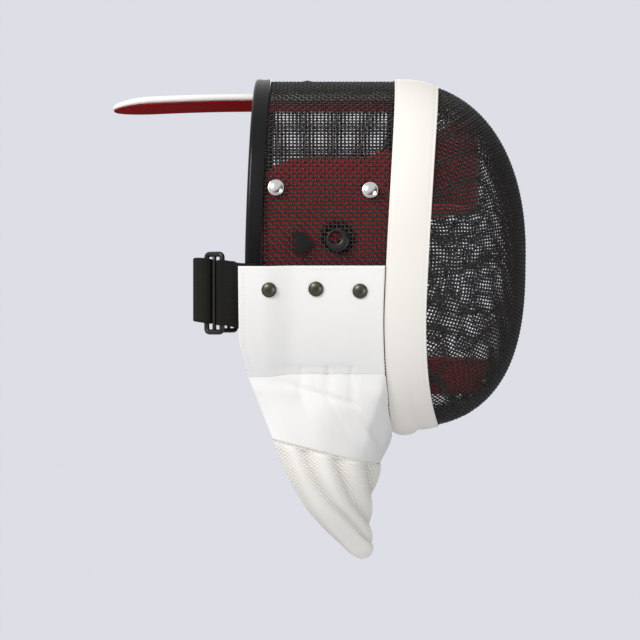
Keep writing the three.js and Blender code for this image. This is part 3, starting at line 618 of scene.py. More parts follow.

# Near-black colour of the disc: painted shade inside the ear hole.
ear_shade = finish("black_ear_shade", (0.012, 0.012, 0.012), (0.03, 0.03, 0.03), 0.95, patch=200.0, grain=1500.0,
              wear=0.6, depth=0.0003, gloss=0.1)[0]
ear_shade_share = steps_with_rims(8, 0.1)
ear_shade_x = blend(EAR_SHADE_HOLE_X + EAR_SHADE_HOLE * np.cos(pad_turn), EAR_X + EAR_SHADE_RADIUS * np.cos(pad_turn), ear_shade_share[:, None]).T
ear_shade_z = blend(EAR_SHADE_HOLE_Z + EAR_SHADE_HOLE * np.sin(pad_turn), EAR_Z + EAR_SHADE_RADIUS * np.sin(pad_turn), ear_shade_share[:, None]).T
ear_shade_middle = hull(ear_shade_x, section_angle(ear_shade_z))
ear_shade_normal = outward_normals(ear_shade_middle, ring=True)
ear_shade_low = -PAD_INSET - EAR_DEPTH + 0.35
for ear_shade_name, ear_shade_side in (("left", np.array([1.0, 1, 1])), ("right", np.array([1.0, -1, 1]))):
    cloth_piece(f"ear_hole_shade_disc_{ear_shade_name}", ear_shade_middle * ear_shade_side, ear_shade_normal * ear_shade_side, ear_shade_low,
                ear_shade_low + EAR_SHADE_THICKNESS, (0, 0, 0.4, 0.4), ear_shade, (), ring=True)


def front_pad(start_x, depth, inset, side_top, front_top, low, lean):
    """A pad round the front of the head: rows from left to right along a superellipse in plan,
    columns from its top edge to its lower edge."""
    u = steps_with_rims(80, 0.03)[:, None]
    v = steps_with_rims(16, 0.12)[None]
    angle = (0.5 - u) * np.pi
    forward = np.abs(np.cos(angle)) ** (2 / 2.3)
    across = signed_power(np.sin(angle), 2 / 2.3)
    z = blend(blend(side_top, front_top, ease(forward)), low, v)
    x = start_x + (depth - lean * v) * forward
    return np.stack(np.broadcast_arrays(x, across * (half_width(z) - inset), z), -1)


for pad_name, pad_sizes in (("forehead", (57, 70, 6, -38, -12.5, -84, 0)), ("chin", (73, 65, 9, -206, -206, -233, 10))):
    pad_grid = front_pad(*pad_sizes)
    pad_out = outward_normals(pad_grid)
    pad = cloth_piece(f"{pad_name}_cushion", pad_grid, pad_out, -PAD_THICKNESS, 0.0, (PAD_RIM,) * 4,
                      fleece, (f"{pad_name}_pad",))

# ------------------------------------------------------------------ band over the joint
# A strip of smooth warm-white coated cloth, stretched over the joint of the two meshes and sewn
# through them along both edges. Under the chin it is padded into a roll with a crease in front.
BAND_INSIDE, BAND_OUTSIDE, BAND_CROWN, CHIN_ROLL, ROLL_END = 1.6, 2.7, 0.4, 3.9, 0.55

coated, c_nodes, c_links, c_surface, c_mottle, _ = finish(
    "warm_white_coated_cloth", (0.90, 0.875, 0.83), (0.80, 0.75, 0.68), 0.45,
    patch=14.0, grain=1800.0, wear=0.35, depth=0.00002)
thread, *_ = finish("white_thread", (0.83, 0.81, 0.77), (0.7, 0.67, 0.62), 0.7, grain=3000.0, depth=0.0001)


def band_width(t):
    """Width of the band at section angle t: a little more at the crown and under the chin."""
    s = np.sin(t)
    return BAND_WIDTH + WIDER_AT_TOP * np.maximum(s, 0) ** 3 + WIDER_AT_CHIN * np.maximum(-s, 0) ** 6


def stitch_row(name, path, outward, length, gap, radius, material):
    """Sewing along a path of points: each stitch is a small capsule, `length` long with `gap`
    between, half sunk in the cloth, six points round and six rings from end to end."""
    run = np.concatenate([[0], np.cumsum(np.linalg.norm(np.diff(path, axis=0), axis=-1))])
    count = int(run[-1] // (length + gap))
    place = (np.arange(count)[:, None] + np.array([0.02, 0.08, 0.25, 0.75, 0.92, 0.98]) * length / (length + gap))
    place = place / count * run[-1]
    line = np.stack([np.interp(place, run, path[:, k]) for k in range(3)], -1)
    out = np.stack([np.interp(place, run, outward[:, k]) for k in range(3)], -1)
    along = line[:, -1:] - line[:, :1]
    along /= np.linalg.norm(along, axis=-1, keepdims=True)
    side = np.cross(along, out)
    size = radius * np.array([0.02, 0.75, 1, 1, 0.75, 0.02])[:, None, None]
    turn = 2 * np.pi * np.arange(6) / 6
    ring = np.cos(turn)[:, None] * out[..., None, :] + 1.2 * np.sin(turn)[:, None] * side[..., None, :]
    sunk = np.array([-0.9, -0.3, 0, 0, -0.3, -0.9])[:, None] * radius
    points = (line + out * sunk)[..., None, :] + size * ring
    one = grid_faces(6, 6, column_ring=True)
    faces = (np.arange(count)[:, None, None] * 36 + one).reshape(-1, 4)
    return make_piece(name, points, faces, material)


band_t = np.linspace(0, 2 * np.pi, 220, endpoint=False)[:, None]
band_v = steps_with_rims(30, 0.06)[None]
band_middle = hull(band_rear(section_height(band_t)) + band_v * band_width(band_t), band_t)
band_normal = outward_normals(band_middle, ring=True)
chin_share = np.maximum(-np.sin(band_t), 0) ** 6
band_roll = CHIN_ROLL * chin_share * np.sin(np.pi * np.clip(band_v / ROLL_END, 0, 1)) ** 0.6
band_crease = 0.5 * np.exp(-(((band_v - 0.6) / 0.03) ** 2)) * np.maximum(-np.sin(band_t - 0.3), 0) ** 3
band_top = (BAND_OUTSIDE + BAND_CROWN * np.sin(np.pi * band_v) + band_roll - band_crease
            - 0.35 * np.exp(-(((band_v - 0.94) / 0.02) ** 2)) - 0.35 * np.exp(-(((band_v - 0.06) / 0.02) ** 2)))
band = cloth_piece("joint_cover_band", band_middle, band_normal, BAND_INSIDE, band_top, (0, 0, 1.2, 1.2),
                   coated, ("joint_band",), ring=True)

# ------------------------------------------------------------------ side flaps
# Two panels of white coated bib cloth that cover the lower side mesh, held by three snaps each and
# sewn to the throat piece along their lower edge. Edges are turned in and stitched.
FLAP_TOP_Z, FLAP_LOW_Z, FLAP_REAR_X, FLAP_THICKNESS = -131.5, -211.9, -61.0, 2.0
FLAP_LIFT, FLAP_LIFT_OVER_TRIM = 2.2, 6.6
QUILT_TOP_Z, QUILT_LOW_Z = -206.5, -233.0
QUILT_SEAMS = (-15.0, 6.0, 24.0)

WEAVE, w_nodes, w_links, w_in, w_out = group_nodes(
    "plain_weave",
    {"Vector": ("NodeSocketVector", (0, 0, 0)), "Threads per Metre": ("NodeSocketFloat", 1200.0)},
    {"Height": "NodeSocketFloat"})
w_parts = []
for w_axis in ("X", "Y"):
    w_wave = w_nodes.new("ShaderNodeTexWave")
    w_wave.bands_direction = w_axis
    w_links.new(w_in["Vector"], w_wave.inputs["Vector"])
    w_links.new(math_node(w_nodes, w_links, "MULTIPLY", w_in["Threads per Metre"], 0.314), w_wave.inputs["Scale"])
    w_parts.append(w_wave.outputs["Fac"])
w_links.new(math_node(w_nodes, w_links, "MULTIPLY", w_parts[0], w_parts[1]), w_out["Height"])


def woven_finish(name, colour, worn, roughness, threads, depth, sheen=0.15, patch=18.0, wear=0.3, gloss=0.5):
    """A cloth material: uneven colour with a plain weave in relief along the piece's own cut."""
    material, nodes, links, surface, mottle, relief = finish(
        name, colour, worn, roughness, patch=patch, wear=wear, depth=0.00004, sheen=sheen, gloss=gloss)
    cut = nodes.new("ShaderNodeUVMap")
    cut.uv_map = "cut"
    weave = nodes.new("ShaderNodeGroup")
    weave.node_tree = WEAVE
    weave.inputs["Threads per Metre"].default_value = threads
    links.new(cut.outputs["UV"], weave.inputs["Vector"])
    raised = nodes.new("ShaderNodeBump")
    raised.inputs["Distance"].default_value = depth
    links.new(weave.outputs["Height"], raised.inputs["Height"])
    links.new(relief.outputs[0], raised.inputs["Normal"])
    links.new(raised.outputs[0], surface.inputs["Normal"])
    return material, nodes, links, surface, mottle


bib_cloth = woven_finish("white_bib_cloth", (0.90, 0.90, 0.89), (0.82, 0.82, 0.80), 0.62, 1400.0, 0.00006)[0]


def flap_lift(x):
    """Height of the flap's inner face over the mesh: more where it passes over the rear trim."""
    return blend(FLAP_LIFT_OVER_TRIM, FLAP_LIFT, ease((x + 44) / 26))


flap_u = steps_with_rims(36, 0.03)[:, None]
flap_v = steps_with_rims(56, 0.02)[None]
flap_t = section_angle(blend(FLAP_LOW_Z, FLAP_TOP_Z, flap_u))
flap_rear = FLAP_REAR_X + 6.0 * ease((0.34 - flap_u) / 0.34)
flap_front = band_rear(section_height(flap_t)) - 0.6
flap_middle = hull(blend(flap_rear, flap_front, flap_v), flap_t)
flap_normal = outward_normals(flap_middle)
flap_down, flap_across = runs(flap_middle)
flap_sewn = np.minimum(flap_down[-1:] - flap_down, flap_across)
flap_dent = 0.3 * np.exp(-(((flap_sewn - 3.5) / 0.9) ** 2))
flap_wave = 0.25 * np.sin(flap_middle[..., 0] / 13 + 1) * np.sin(flap_middle[..., 2] / 17)
flap_low = flap_lift(flap_middle[..., 0])
flap_high = flap_low + FLAP_THICKNESS + flap_wave * ease(flap_down / 10) - flap_dent
flap_x, flap_z = flap_middle[..., 0], flap_middle[..., 2]
quilt_top = np.exp(-(((flap_z - QUILT_TOP_Z) / 1.1) ** 2)) * ease((flap_x + 42) / 6) * ease((28 - flap_x) / 6)
quilt_sides = sum(np.exp(-(((flap_x - seam_x) / 1.6) ** 2)) for seam_x in QUILT_SEAMS)
flap_high -= 0.8 * quilt_top + 1.0 * quilt_sides * ease((QUILT_TOP_Z + 1 - flap_z) / 2)
for flap_name, flap_side in (("left", np.array([1.0, 1, 1])), ("right", np.array([1.0, -1, 1]))):
    flap = cloth_piece(f"bib_side_flap_{flap_name}", flap_middle * flap_side, flap_normal * flap_side,
                       flap_low, flap_high, (0.3, 1.0, 1.0, 1.0), bib_cloth,
                       (f"side_flap_{flap_name}",))
    sew_j = int(np.argmin(np.abs(flap_across[20] - 3.5)))
    sew_i = int(np.argmin(np.abs(flap_down[-1, 20] - flap_down[:, 20] - 3.5)))
    sew_path = np.concatenate([flap_middle[6:sew_i, sew_j], flap_middle[sew_i, sew_j:-3]])
    sew_out = np.concatenate([flap_normal[6:sew_i, sew_j], flap_normal[sew_i, sew_j:-3]])
    sew_path = sew_path + sew_out * (flap_lift(sew_path[:, :1]) + FLAP_THICKNESS - 0.3)
    stitch_row(f"flap_stitches_{flap_name}", sew_path * flap_side, sew_out * flap_side, 2.3, 0.9, 0.28,
               thread)

# ------------------------------------------------------------------ throat bib
# White coated cloth over thin padding: it hangs from the flap seams and round the chin behind the
# band, down to the knit border. Its sides are quilted below the flap seam and fall in soft folds.
BIB_THICKNESS, BIB_SEAM_Z, BIB_REAR_X, BIB_POWER, SIDE_RUN, CHIN_LIFT, BIB_HEM = 3.0, -212.1, -55.0, 2.5, 0.56, 5.4, 0.985
BIB_ROWS = np.array([  # rear x, rear z, front x, front z, half width, from the border to the tip
    (-36, -264, 45.5, -287.5, 78),
    (-26.8, -287.5, 44.7, -297, 71),
    (-14, -312, 41, -312, 58),
    (-1.6, -329.5, 38.5, -325, 44),
    (14, -347, 38.5, -343, 26),
    (23.5, -357, 40, -356, 14),
    (33, -364, 37, -363.5, 4),
])


def bib_column(column, share):
    """A column of the bib's rows at a share of the way down, on a smooth curve through them."""
    last = len(BIB_ROWS) - 1
    place = np.clip(share, 0, 1) * last
    i = np.minimum(last - 1, np.floor(place)).astype(int)
    f = place - i
    a, b, c, d = (BIB_ROWS[np.clip(i + k, 0, last), column] for k in (-1, 0, 1, 2))
    return b + 0.5 * f * (c - a + f * (2 * a - 5 * b + 4 * c - d + f * (3 * (b - c) + d - a)))


def lower_bib(u, v):
    """The lower bib: u from the left rear edge round the front to the right one, v down."""
    angle = (0.5 - u) * np.pi
    forward = np.maximum(np.cos(angle), 0) ** (2 / BIB_POWER)
    across = signed_power(np.sin(angle), 2 / BIB_POWER)
    x = blend(bib_column(0, v), bib_column(2, v), forward)
    z = blend(bib_column(1, v), bib_column(3, v), forward)
    return np.stack(np.broadcast_arrays(x, across * bib_column(4, v), z), -1)


def throat_top(u):
    """Top edge of the throat piece: along the flap seam, then down round the chin."""
    along = 1 - np.abs(1 - 2 * u)
    past = (along - SIDE_RUN) / (1 - SIDE_RUN)
    down = 0.5 * ease(past) + 0.5 * np.clip(past, 0, 1)
    t = blend(float(section_angle(BIB_SEAM_Z)), -np.pi / 2, down)
    x = blend(BIB_REAR_X, band_rear(section_height(t)) - 1.2, np.minimum(1, along / SIDE_RUN))
    point = hull(x, t)
    tangent = hull(x, t + 0.05) - hull(x, t - 0.05)
    out = np.stack([np.zeros_like(x), tangent[..., 2], -tangent[..., 1]], -1)
    out /= np.linalg.norm(out, axis=-1, keepdims=True)
    point = point + out * (flap_lift(x) + CHIN_LIFT * down)[..., None]
    return point * np.stack([np.ones_like(u), np.where(u < 0.5, 1.0, -1.0), np.ones_like(u)], -1)


bib_u = steps_with_rims(110, 0.01)[:, None]
bib_v = steps_with_rims(44, 0.03)[None]
top_edge = throat_top(bib_u[:, 0])[:, None]
throat_middle = blend(top_edge, lower_bib(bib_u, np.zeros((1, 1))), (bib_v * BIB_HEM)[..., None])
throat_normal = outward_normals(throat_middle)
throat_normal[..., 2] *= 1 - (bib_v * BIB_HEM) ** 2
throat_normal /= np.linalg.norm(throat_normal, axis=-1, keepdims=True)
tx, tz = throat_middle[..., 0], throat_middle[..., 2]
on_sides = ease((np.abs(throat_middle[..., 1]) - 35) / 25)
quilt = np.zeros_like(tx)
fading = np.exp(-np.maximum(QUILT_LOW_Z - tz, 0) / 16)
for seam_x in QUILT_SEAMS:
    lean = 0.55 * np.maximum(QUILT_LOW_Z - tz, 0)
    quilt -= 1.5 * np.exp(-(((tx - seam_x - lean) / 2.2) ** 2)) * fading
quilt -= 1.0 * np.exp(-(((tz - QUILT_LOW_Z - 4 + 0.3 * tx) / 2.6) ** 2)) * ease((tx + 40) / 12) * ease((34 - tx) / 10)
quilt += 0.6 * np.sin(tx / 5.5 + tz / 9) * np.sin(tz / 7 + 2) * ease((-222 - tz) / 10)
drape = 1.8 * np.sin((tx + 0.7 * tz) / 4.2) * ease((tx - 30) / 14) * ease((-246 - tz) / 14)
drape += 1.1 * np.sin((tx - tz) / 17) * ease((-225 - tz) / 20)
throat_high = FLAP_THICKNESS + (BIB_THICKNESS - FLAP_THICKNESS) * ease(bib_v / 0.25)
throat_high = throat_high + (quilt + drape) * on_sides
throat_bib = cloth_piece("throat_bib_cloth", throat_middle, throat_normal, 0.0, throat_high, (1.4, 1.4, 0.3, 1.4),
                         bib_cloth, ("throat_bib",))

# ------------------------------------------------------------------ ribbed bib
# The conductive lower bib: cream ribbed knit over soft padding, sewn in slanted flutes that run
# down to the tip under the throat. The rows of the knit stand proud, and dark dashes between them
# are painted shade, laid only into the flute valleys and near the rear edges.
RIB_PITCH, RIB_DEPTH, FLUTE_DEPTH, FLUTE_SPACING, FLUTE_START, FLUTE_SLANT = 3.1, 0.3, 4.0, 0.3, 0.28, 1.2

knit, k_nodes, k_links, k_surface, k_mottle, k_relief = finish(
    "cream_ribbed_knit", (0.98, 0.965, 0.92), (0.94, 0.92, 0.87), 0.85,
    patch=40.0, grain=1500.0, wear=0.5, depth=0.0001, sheen=0.2)
k_cut = k_nodes.new("ShaderNodeUVMap")
k_cut.uv_map = "cut"
k_rows = k_nodes.new("ShaderNodeTexBrick")
k_rows.offset, k_rows.squash = 0.5, 1.0
k_rows.inputs["Scale"].default_value = 1.0
k_rows.inputs["Brick Width"].default_value = 0.0022
k_rows.inputs["Row Height"].default_value = RIB_PITCH * 0.001
k_rows.inputs["Mortar Size"].default_value = 0.0003
k_rows.inputs["Mortar Smooth"].default_value = 0.4
k_rows.inputs["Color1"].default_value = (1, 1, 1, 1)
k_rows.inputs["Color2"].default_value = (0.93, 0.92, 0.9, 1)
k_rows.inputs["Mortar"].default_value = (0.50, 0.50, 0.45, 1)
k_turn = k_nodes.new("ShaderNodeMapping")
k_links.new(k_cut.outputs["UV"], k_turn.inputs["Vector"])
k_links.new(k_turn.outputs[0], k_rows.inputs["Vector"])
# The brick's dark mortar is painted shade between the knit rows: the valley share multiplies it into the colour only in
# the flute valleys and near the rear edges.
k_shade_mix = k_nodes.new("ShaderNodeMix")
k_shade_mix.data_type, k_shade_mix.blend_type = "RGBA", "MULTIPLY"
k_relief_map = k_nodes.new("ShaderNodeUVMap")
k_relief_map.uv_map = "relief"
k_valley_shade = k_nodes.new("ShaderNodeSeparateXYZ")
k_links.new(k_relief_map.outputs["UV"], k_valley_shade.inputs[0])
k_links.new(k_valley_shade.outputs["X"], k_shade_mix.inputs[0])
k_links.new(k_mottle.outputs["Color"], k_shade_mix.inputs[6])
k_links.new(k_rows.outputs["Color"], k_shade_mix.inputs[7])
k_links.new(k_shade_mix.outputs[2], k_surface.inputs["Base Color"])

rib_u = steps_with_rims(90, 0.01)[:, None]
rib_v = steps_with_rims(150, 0.012)[None]
rib_middle = lower_bib(rib_u, rib_v)
rib_normal = outward_normals(rib_middle)
rib_normal[..., 2] *= ease(3 * rib_v)
rib_normal /= np.maximum(np.linalg.norm(rib_normal, axis=-1, keepdims=True), 1e-9)
rib_forward = np.maximum(np.cos((0.5 - rib_u) * np.pi), 0) ** (2 / BIB_POWER)
_, rib_run = runs(rib_middle)
mean_run = rib_run.mean(0, keepdims=True)
rib_rows = RIB_DEPTH * np.cos(2 * np.pi * rib_run / RIB_PITCH)
flute_place = (rib_forward - FLUTE_SLANT * rib_v**2.2 - FLUTE_START) / FLUTE_SPACING
flute_ridge = np.abs(np.sin(np.pi * np.maximum(flute_place, -0.5))) ** 0.8
# The valley share also marks where the dashes between the knit rows are painted as shade.
valley = np.clip(1.25 - 1.2 * flute_ridge, 0, 1)
valley = np.maximum(valley, 0.85 * (1 - ease((rib_forward - 0.05) / 0.14)))
flutes = FLUTE_DEPTH * (flute_ridge - 0.7) * (1 - 0.5 * ease((rib_v - 0.45) / 0.35))
flutes *= ease(rib_v / 0.05) * (1 - ease((rib_v - 0.85) / 0.15))
rib_high = BIB_THICKNESS + rib_rows * (0.35 + 0.65 * valley) + flutes
ribbed_bib = cloth_piece("ribbed_bib_knit", rib_middle, rib_normal, 0.0, np.maximum(rib_high, 0.8), (1.4, 1.4, 0.8, 1.4),
                         knit, ("ribbed_bib",), relief=valley)
border_path = (rib_middle + rib_normal * (BIB_THICKNESS + 0.1))[3:-3, 5]
stitch_row("knit_border_stitches", border_path, rib_normal[3:-3, 5], 2.2, 1.2, 0.3, thread)

# ------------------------------------------------------------------ tongue
# The spring tongue that grips the back of the head: a sprung steel plate padded and covered with
# white cloth above and red fleece below, riveted to the crown, rounded and thinner at its tip.
TONGUE_HALF, TONGUE_TIP_X, TONGUE_INNER_X, TONGUE_TIP = 30.0, -168.0, 60.0, 34.0
TONGUE_DROOP_START, TONGUE_DROOP, TONGUE_THINNING = -50.0, 4.0, 0.55

tongue_cloth = woven_finish("white_tongue_cloth", (0.93, 0.93, 0.91), (0.86, 0.85, 0.83), 0.6, 1300.0, 0.00006)[0]


def tongue_plan(inset, low, high):
    """Grid of the tongue's middle with the heights of its two faces: rows from the tip to the
    inner end, columns across, the tip a half ellipse in plan."""
    round_in = 1 - np.cos(np.linspace(0, np.pi / 2, 26))
    x = np.concatenate([TONGUE_TIP_X + inset + TONGUE_TIP * round_in,
                        np.linspace(TONGUE_TIP_X + inset + TONGUE_TIP, TONGUE_INNER_X - inset, 60)[1:]])[:, None]
    back = np.clip((TONGUE_TIP_X + inset + TONGUE_TIP - x) / TONGUE_TIP, 0, 1)
    half = (TONGUE_HALF - inset) * np.sqrt(1 - back**2)
    across = 2 * steps_with_rims(20, 0.08)[None] - 1
    sink = TONGUE_DROOP * np.clip((TONGUE_DROOP_START - x) / (TONGUE_DROOP_START - TONGUE_TIP_X), 0, 1) ** 2
    thin = blend(1.0, TONGUE_THINNING, back**2)
    edge = np.clip(1 - np.abs(across) ** 16, 0, 1) ** 0.4 * np.clip(1 - back**16, 0, 1) ** 0.4
    middle = np.stack(np.broadcast_arrays(x, half * across, (low + high) / 2 * thin - sink), -1)
    up = np.zeros_like(middle)
    up[..., 2] = 1
    return middle, up, (high - low) / 2 * thin * edge


tongue_middle, tongue_up, tongue_half = tongue_plan(0.0, 1.5, 7.5)
tongue_cover = cloth_piece("tongue_cover_cloth", tongue_middle, tongue_up, -tongue_half, tongue_half, (0, 0.8, 0, 0),
                           tongue_cloth, ("tongue_cover",))
# A darker copy of the pads' red fleece: painted shade for the tongue's underside.
tongue_fleece_in_shade = finish("red_fleece_painted_shade", (0.33, 0.004, 0.004), (0.24, 0.003, 0.003), 0.9, patch=45.0,
                       grain=700.0, wear=0.6, depth=0.0003, gloss=0.1)[0]
lining_middle, lining_up, lining_half = tongue_plan(1.0, 0.0, 1.2)
lining = cloth_piece("tongue_lining_fleece", lining_middle, lining_up, -lining_half, lining_half, (0, 0.5, 0, 0),
                     tongue_fleece_in_shade, ("tongue_lining",))

# ------------------------------------------------------------------ rear strap
# Black nylon webbing 49 mm wide: a short tab from under each flap holds a plastic loop, and the
# strap across the back of the head is folded round the loops' rear bars.
STRAP_HEIGHT, STRAP_THICKNESS, STRAP_MIDDLE_Z, LOOP_MIDDLE_Z, STRAP_REAR_X, UNDER_FLAP = 49.0, 2.0, -148.8, -152.0, -99.0, 5.1
LOOP_FRONT, LOOP_REAR = np.array([-73.5, 98.0]), np.array([-85.5, 91.0])
LOOP_TOP_Z, LOOP_LOW_Z, LOOP_ROD, LOOP_CORNER = -121.0, -183.5, 2.0, 2.5

webbing = woven_finish("black_webbing_weave", (0.008, 0.008, 0.0065), (0.018, 0.018, 0.015), 0.8, 520.0, 0.0003,
                       sheen=0.0, patch=60.0, wear=0.6, gloss=0.15)[0]
loop_plastic = finish("black_moulded_plastic", (0.006, 0.006, 0.006), (0.02, 0.02, 0.02), 0.22, patch=90.0,
                      wear=0.5, depth=0.00003, gloss=0.45)[0]


def arc_round(place, start, end):
    """Plan points on an arc round a bar, in degrees from +X towards +Y."""
    radius = LOOP_ROD + 0.3 + STRAP_THICKNESS / 2
    angle = np.radians(np.linspace(start, end, 9))
    return np.stack([place[0] + radius * np.cos(angle), place[1] + radius * np.sin(angle), 0 * angle], -1)


def webbing_strip(name, path, middle_z, nodes, side=1.0):
    """Upright webbing along plan points (x, y, how much it leans with the side mesh): rows follow
    the path at even steps, columns go down, and fine ribs run across it."""
    legs = np.concatenate([[0], np.cumsum(np.linalg.norm(np.diff(path[:, :2], axis=0), axis=-1) + 1e-6)])
    place = np.arange(0, legs[-1], 0.55)
    x, y, lean = (np.interp(place, legs, path[:, k])[:, None] for k in range(3))
    v = steps_with_rims(5, 0.03)[None]
    z = middle_z(x) + (0.5 - v) * STRAP_HEIGHT
    grid = np.stack(np.broadcast_arrays(x, blend(y, half_width(z) + UNDER_FLAP, lean), z), -1)
    normal = grid_normals(grid)
    rib = 0.12 * np.cos(2 * np.pi * place / 2.2)[:, None]
    return cloth_piece(name, grid * [1, side, 1], normal * [1, side, 1], -STRAP_THICKNESS / 2 - rib,
                       STRAP_THICKNESS / 2 + rib, (0.8,) * 4, webbing, nodes)


tab_path = np.concatenate([[[-47, 96, 1], [-53, 97, 1], [-60, 98, 1], [-66, 102, 0.5]],
                           arc_round(LOOP_FRONT, 75, 255), [[-64, 93, 0]]])
for loop_name, loop_side in (("left", 1.0), ("right", -1.0)):
    webbing_strip(f"strap_tab_webbing_{loop_name}", tab_path,
                  lambda x: LOOP_MIDDLE_Z - 2.6 * ease((x - LOOP_FRONT[0]) / 16),
                  (f"strap_tab_{loop_name}",), loop_side)
half_strap = np.concatenate([[[-89.5, 77.2, 0]], arc_round(LOOP_REAR, -30, 150),
                             [[-92.6, 84, 0], [-95.6, 72, 0], [-97.6, 55, 0], [-98.6, 36, 0], [-99, 18, 0]]])
whole_strap = np.concatenate([half_strap, [[-99, 0, 0]], half_strap[::-1] * [1, -1, 1]])
webbing_strip("rear_strap_webbing", whole_strap,
              lambda x: blend(STRAP_MIDDLE_Z, LOOP_MIDDLE_Z,
                              np.clip((x - STRAP_REAR_X) / (LOOP_FRONT[0] - STRAP_REAR_X), 0, 1)),
              ("rear_strap",))


def rod_loop():
    """A round rod bent to an upright rectangle with rounded corners, as rings of points."""
    across = np.append(LOOP_REAR - LOOP_FRONT, 0)
    width = np.linalg.norm(across)
    across /= width
    low, high = LOOP_LOW_Z + LOOP_ROD, LOOP_TOP_Z - LOOP_ROD
    turn = np.radians(np.concatenate([np.linspace(k * 90, k * 90 + 90, 7) for k in range(4)]))
    centre_along = np.repeat([width - LOOP_CORNER, LOOP_CORNER, LOOP_CORNER, width - LOOP_CORNER], 7)
    centre_up = np.repeat([high - LOOP_CORNER, high - LOOP_CORNER, low + LOOP_CORNER, low + LOOP_CORNER], 7)
    out = np.cos(turn)[:, None] * across + np.sin(turn)[:, None] * np.array([0, 0, 1.0])
    line = (np.append(LOOP_FRONT, 0) + centre_along[:, None] * across
            + centre_up[:, None] * np.array([0, 0, 1.0]) + LOOP_CORNER * out)
    normal = np.array([-across[1], across[0], 0])
    angle = 2 * np.pi * np.arange(16) / 16
    return (line[:, None] + LOOP_ROD * np.cos(angle)[:, None] * out[:, None]
            + LOOP_ROD * np.sin(angle)[:, None] * normal)


loop_points = rod_loop()
loop_faces = grid_faces(*loop_points.shape[:2], row_ring=True, column_ring=True)
bar_z = np.concatenate([[LOOP_LOW_Z + 1.5] * 2, np.linspace(LOOP_LOW_Z + 1.5, LOOP_TOP_Z - 1.5, 12)[1:-1],
                        [LOOP_TOP_Z - 1.5] * 2])[:, None]
bar_size = np.concatenate([[1e-4], np.full(len(bar_z) - 2, 1.55), [1e-4]])[:, None]
bar_turn = 2 * np.pi * np.arange(16)[None] / 16
bar_x, bar_y = (LOOP_FRONT + LOOP_REAR) / 2
bar_points = np.stack(np.broadcast_arrays(bar_x + bar_size * np.cos(bar_turn), bar_y + bar_size * np.sin(bar_turn), bar_z), -1)
bar_faces = grid_faces(*bar_points.shape[:2], column_ring=True)
for loop_name, loop_side in (("left", 1.0), ("right", -1.0)):
    make_piece(f"strap_loop_rod_{loop_name}", loop_points * [1, loop_side, 1], loop_faces,
               loop_plastic, (f"strap_loop_{loop_name}",))
    make_piece(f"strap_loop_bar_{loop_name}", bar_points * [1, loop_side, 1], bar_faces, loop_plastic)

# ------------------------------------------------------------------ snaps and rivet
# Domed metal caps pressed onto their studs: two bright ones on each side of the mesh, three dark
# ones through each flap, and a black rivet on the crown where the tongue's spring is fixed.
SNAP_HEIGHT = 2.6

chrome = finish("polished_cap_metal", (0.82, 0.82, 0.81), (0.6, 0.6, 0.58), 0.12, patch=200.0, wear=0.4,
                depth=0.00001, metallic=1.0)[0]
# Dark metal of the flap caps is painted reflection: plated caps darkened to show a dark room in them.
dark_reflection_metal = finish("cap_metal_painted_dark_reflection", (0.10, 0.092, 0.07), (0.16, 0.15, 0.12), 0.27, patch=250.0, wear=0.6,
                  depth=0.00002, metallic=1.0)[0]


def cap_points(centre, normal, radius, height):
    """A domed cap of revolution: flat base, rolled rim, a shallow groove, then a crowned top."""
    share = np.array([0, 0.9, 0.97, 1.0, 0.99, 0.94, 0.88, 0.84, 0.8, 0.7, 0.58, 0.44, 0.3, 0.15, 0.0])
    rise = np.array([0, 0, 0.06, 0.18, 0.32, 0.42, 0.42, 0.4, 0.5, 0.66, 0.79, 0.89, 0.96, 0.99, 1.0])
    turn = np.linspace(0, 2 * np.pi, 40, endpoint=False)[:, None, None]
    first = np.cross(normal, [1.0, 0, 0])
    first /= np.linalg.norm(first)
    second = np.cross(normal, first)
    around = np.cos(turn) * first + np.sin(turn) * second
    return centre + around * (radius * share)[None, :, None] + normal * (height * rise)[None, :, None]


def seat_on_side(x, z, lift, side):
    """Centre and outward direction of a cap set on the side mesh at x, z."""
    t = float(section_angle(z))
    tangent = hull(x, t + 0.01) - hull(x, t - 0.01)
    normal = np.array([0, tangent[2], -tangent[1]])
    normal /= np.linalg.norm(normal)
    return (hull(x, t) + normal * lift) * [1, side, 1], normal * [1, side, 1]


cap_faces = grid_faces(40, 15, row_ring=True)
snap_places = [("mesh_snap_rear", -33, -73.7, 6.2, 1.3, chrome, "bright_snap"),
               ("mesh_snap_front", 37.5, -75.5, 6.2, 1.3, chrome, "bright_snap"),
               ("bib_snap_rear", -38, -148.5, 5.7, None, dark_reflection_metal, "dark_snap"),
               ("bib_snap_middle", -3, -148.5, 5.7, None, dark_reflection_metal, "dark_snap"),
               ("bib_snap_front", 30, -150, 5.7, None, dark_reflection_metal, "dark_snap")]
for snap_name, snap_x, snap_z, snap_radius, snap_lift, snap_metal, snap_slot in snap_places:
    if snap_lift is None:
        snap_lift = float(flap_lift(snap_x)) + FLAP_THICKNESS + 0.1
    for side_name, side_sign in (("left", 1.0), ("right", -1.0)):
        snap_centre, snap_out = seat_on_side(snap_x, snap_z, snap_lift, side_sign)
        make_piece(f"{snap_name}_cap_{side_name}", cap_points(snap_centre, snap_out, snap_radius, SNAP_HEIGHT),
                   cap_faces, snap_metal, (f"{snap_name}_{side_name}",))
make_piece("crown_rivet_cap", cap_points(np.array([-10, 0, CENTRE_Z + RISE + 1.3]), np.array([0, 0, 1.0]), 5.0, 2.0),
           cap_faces, loop_plastic, ("crown_rivet",))
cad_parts["tongue_spacer"].material_slots[0].material = loop_plastic

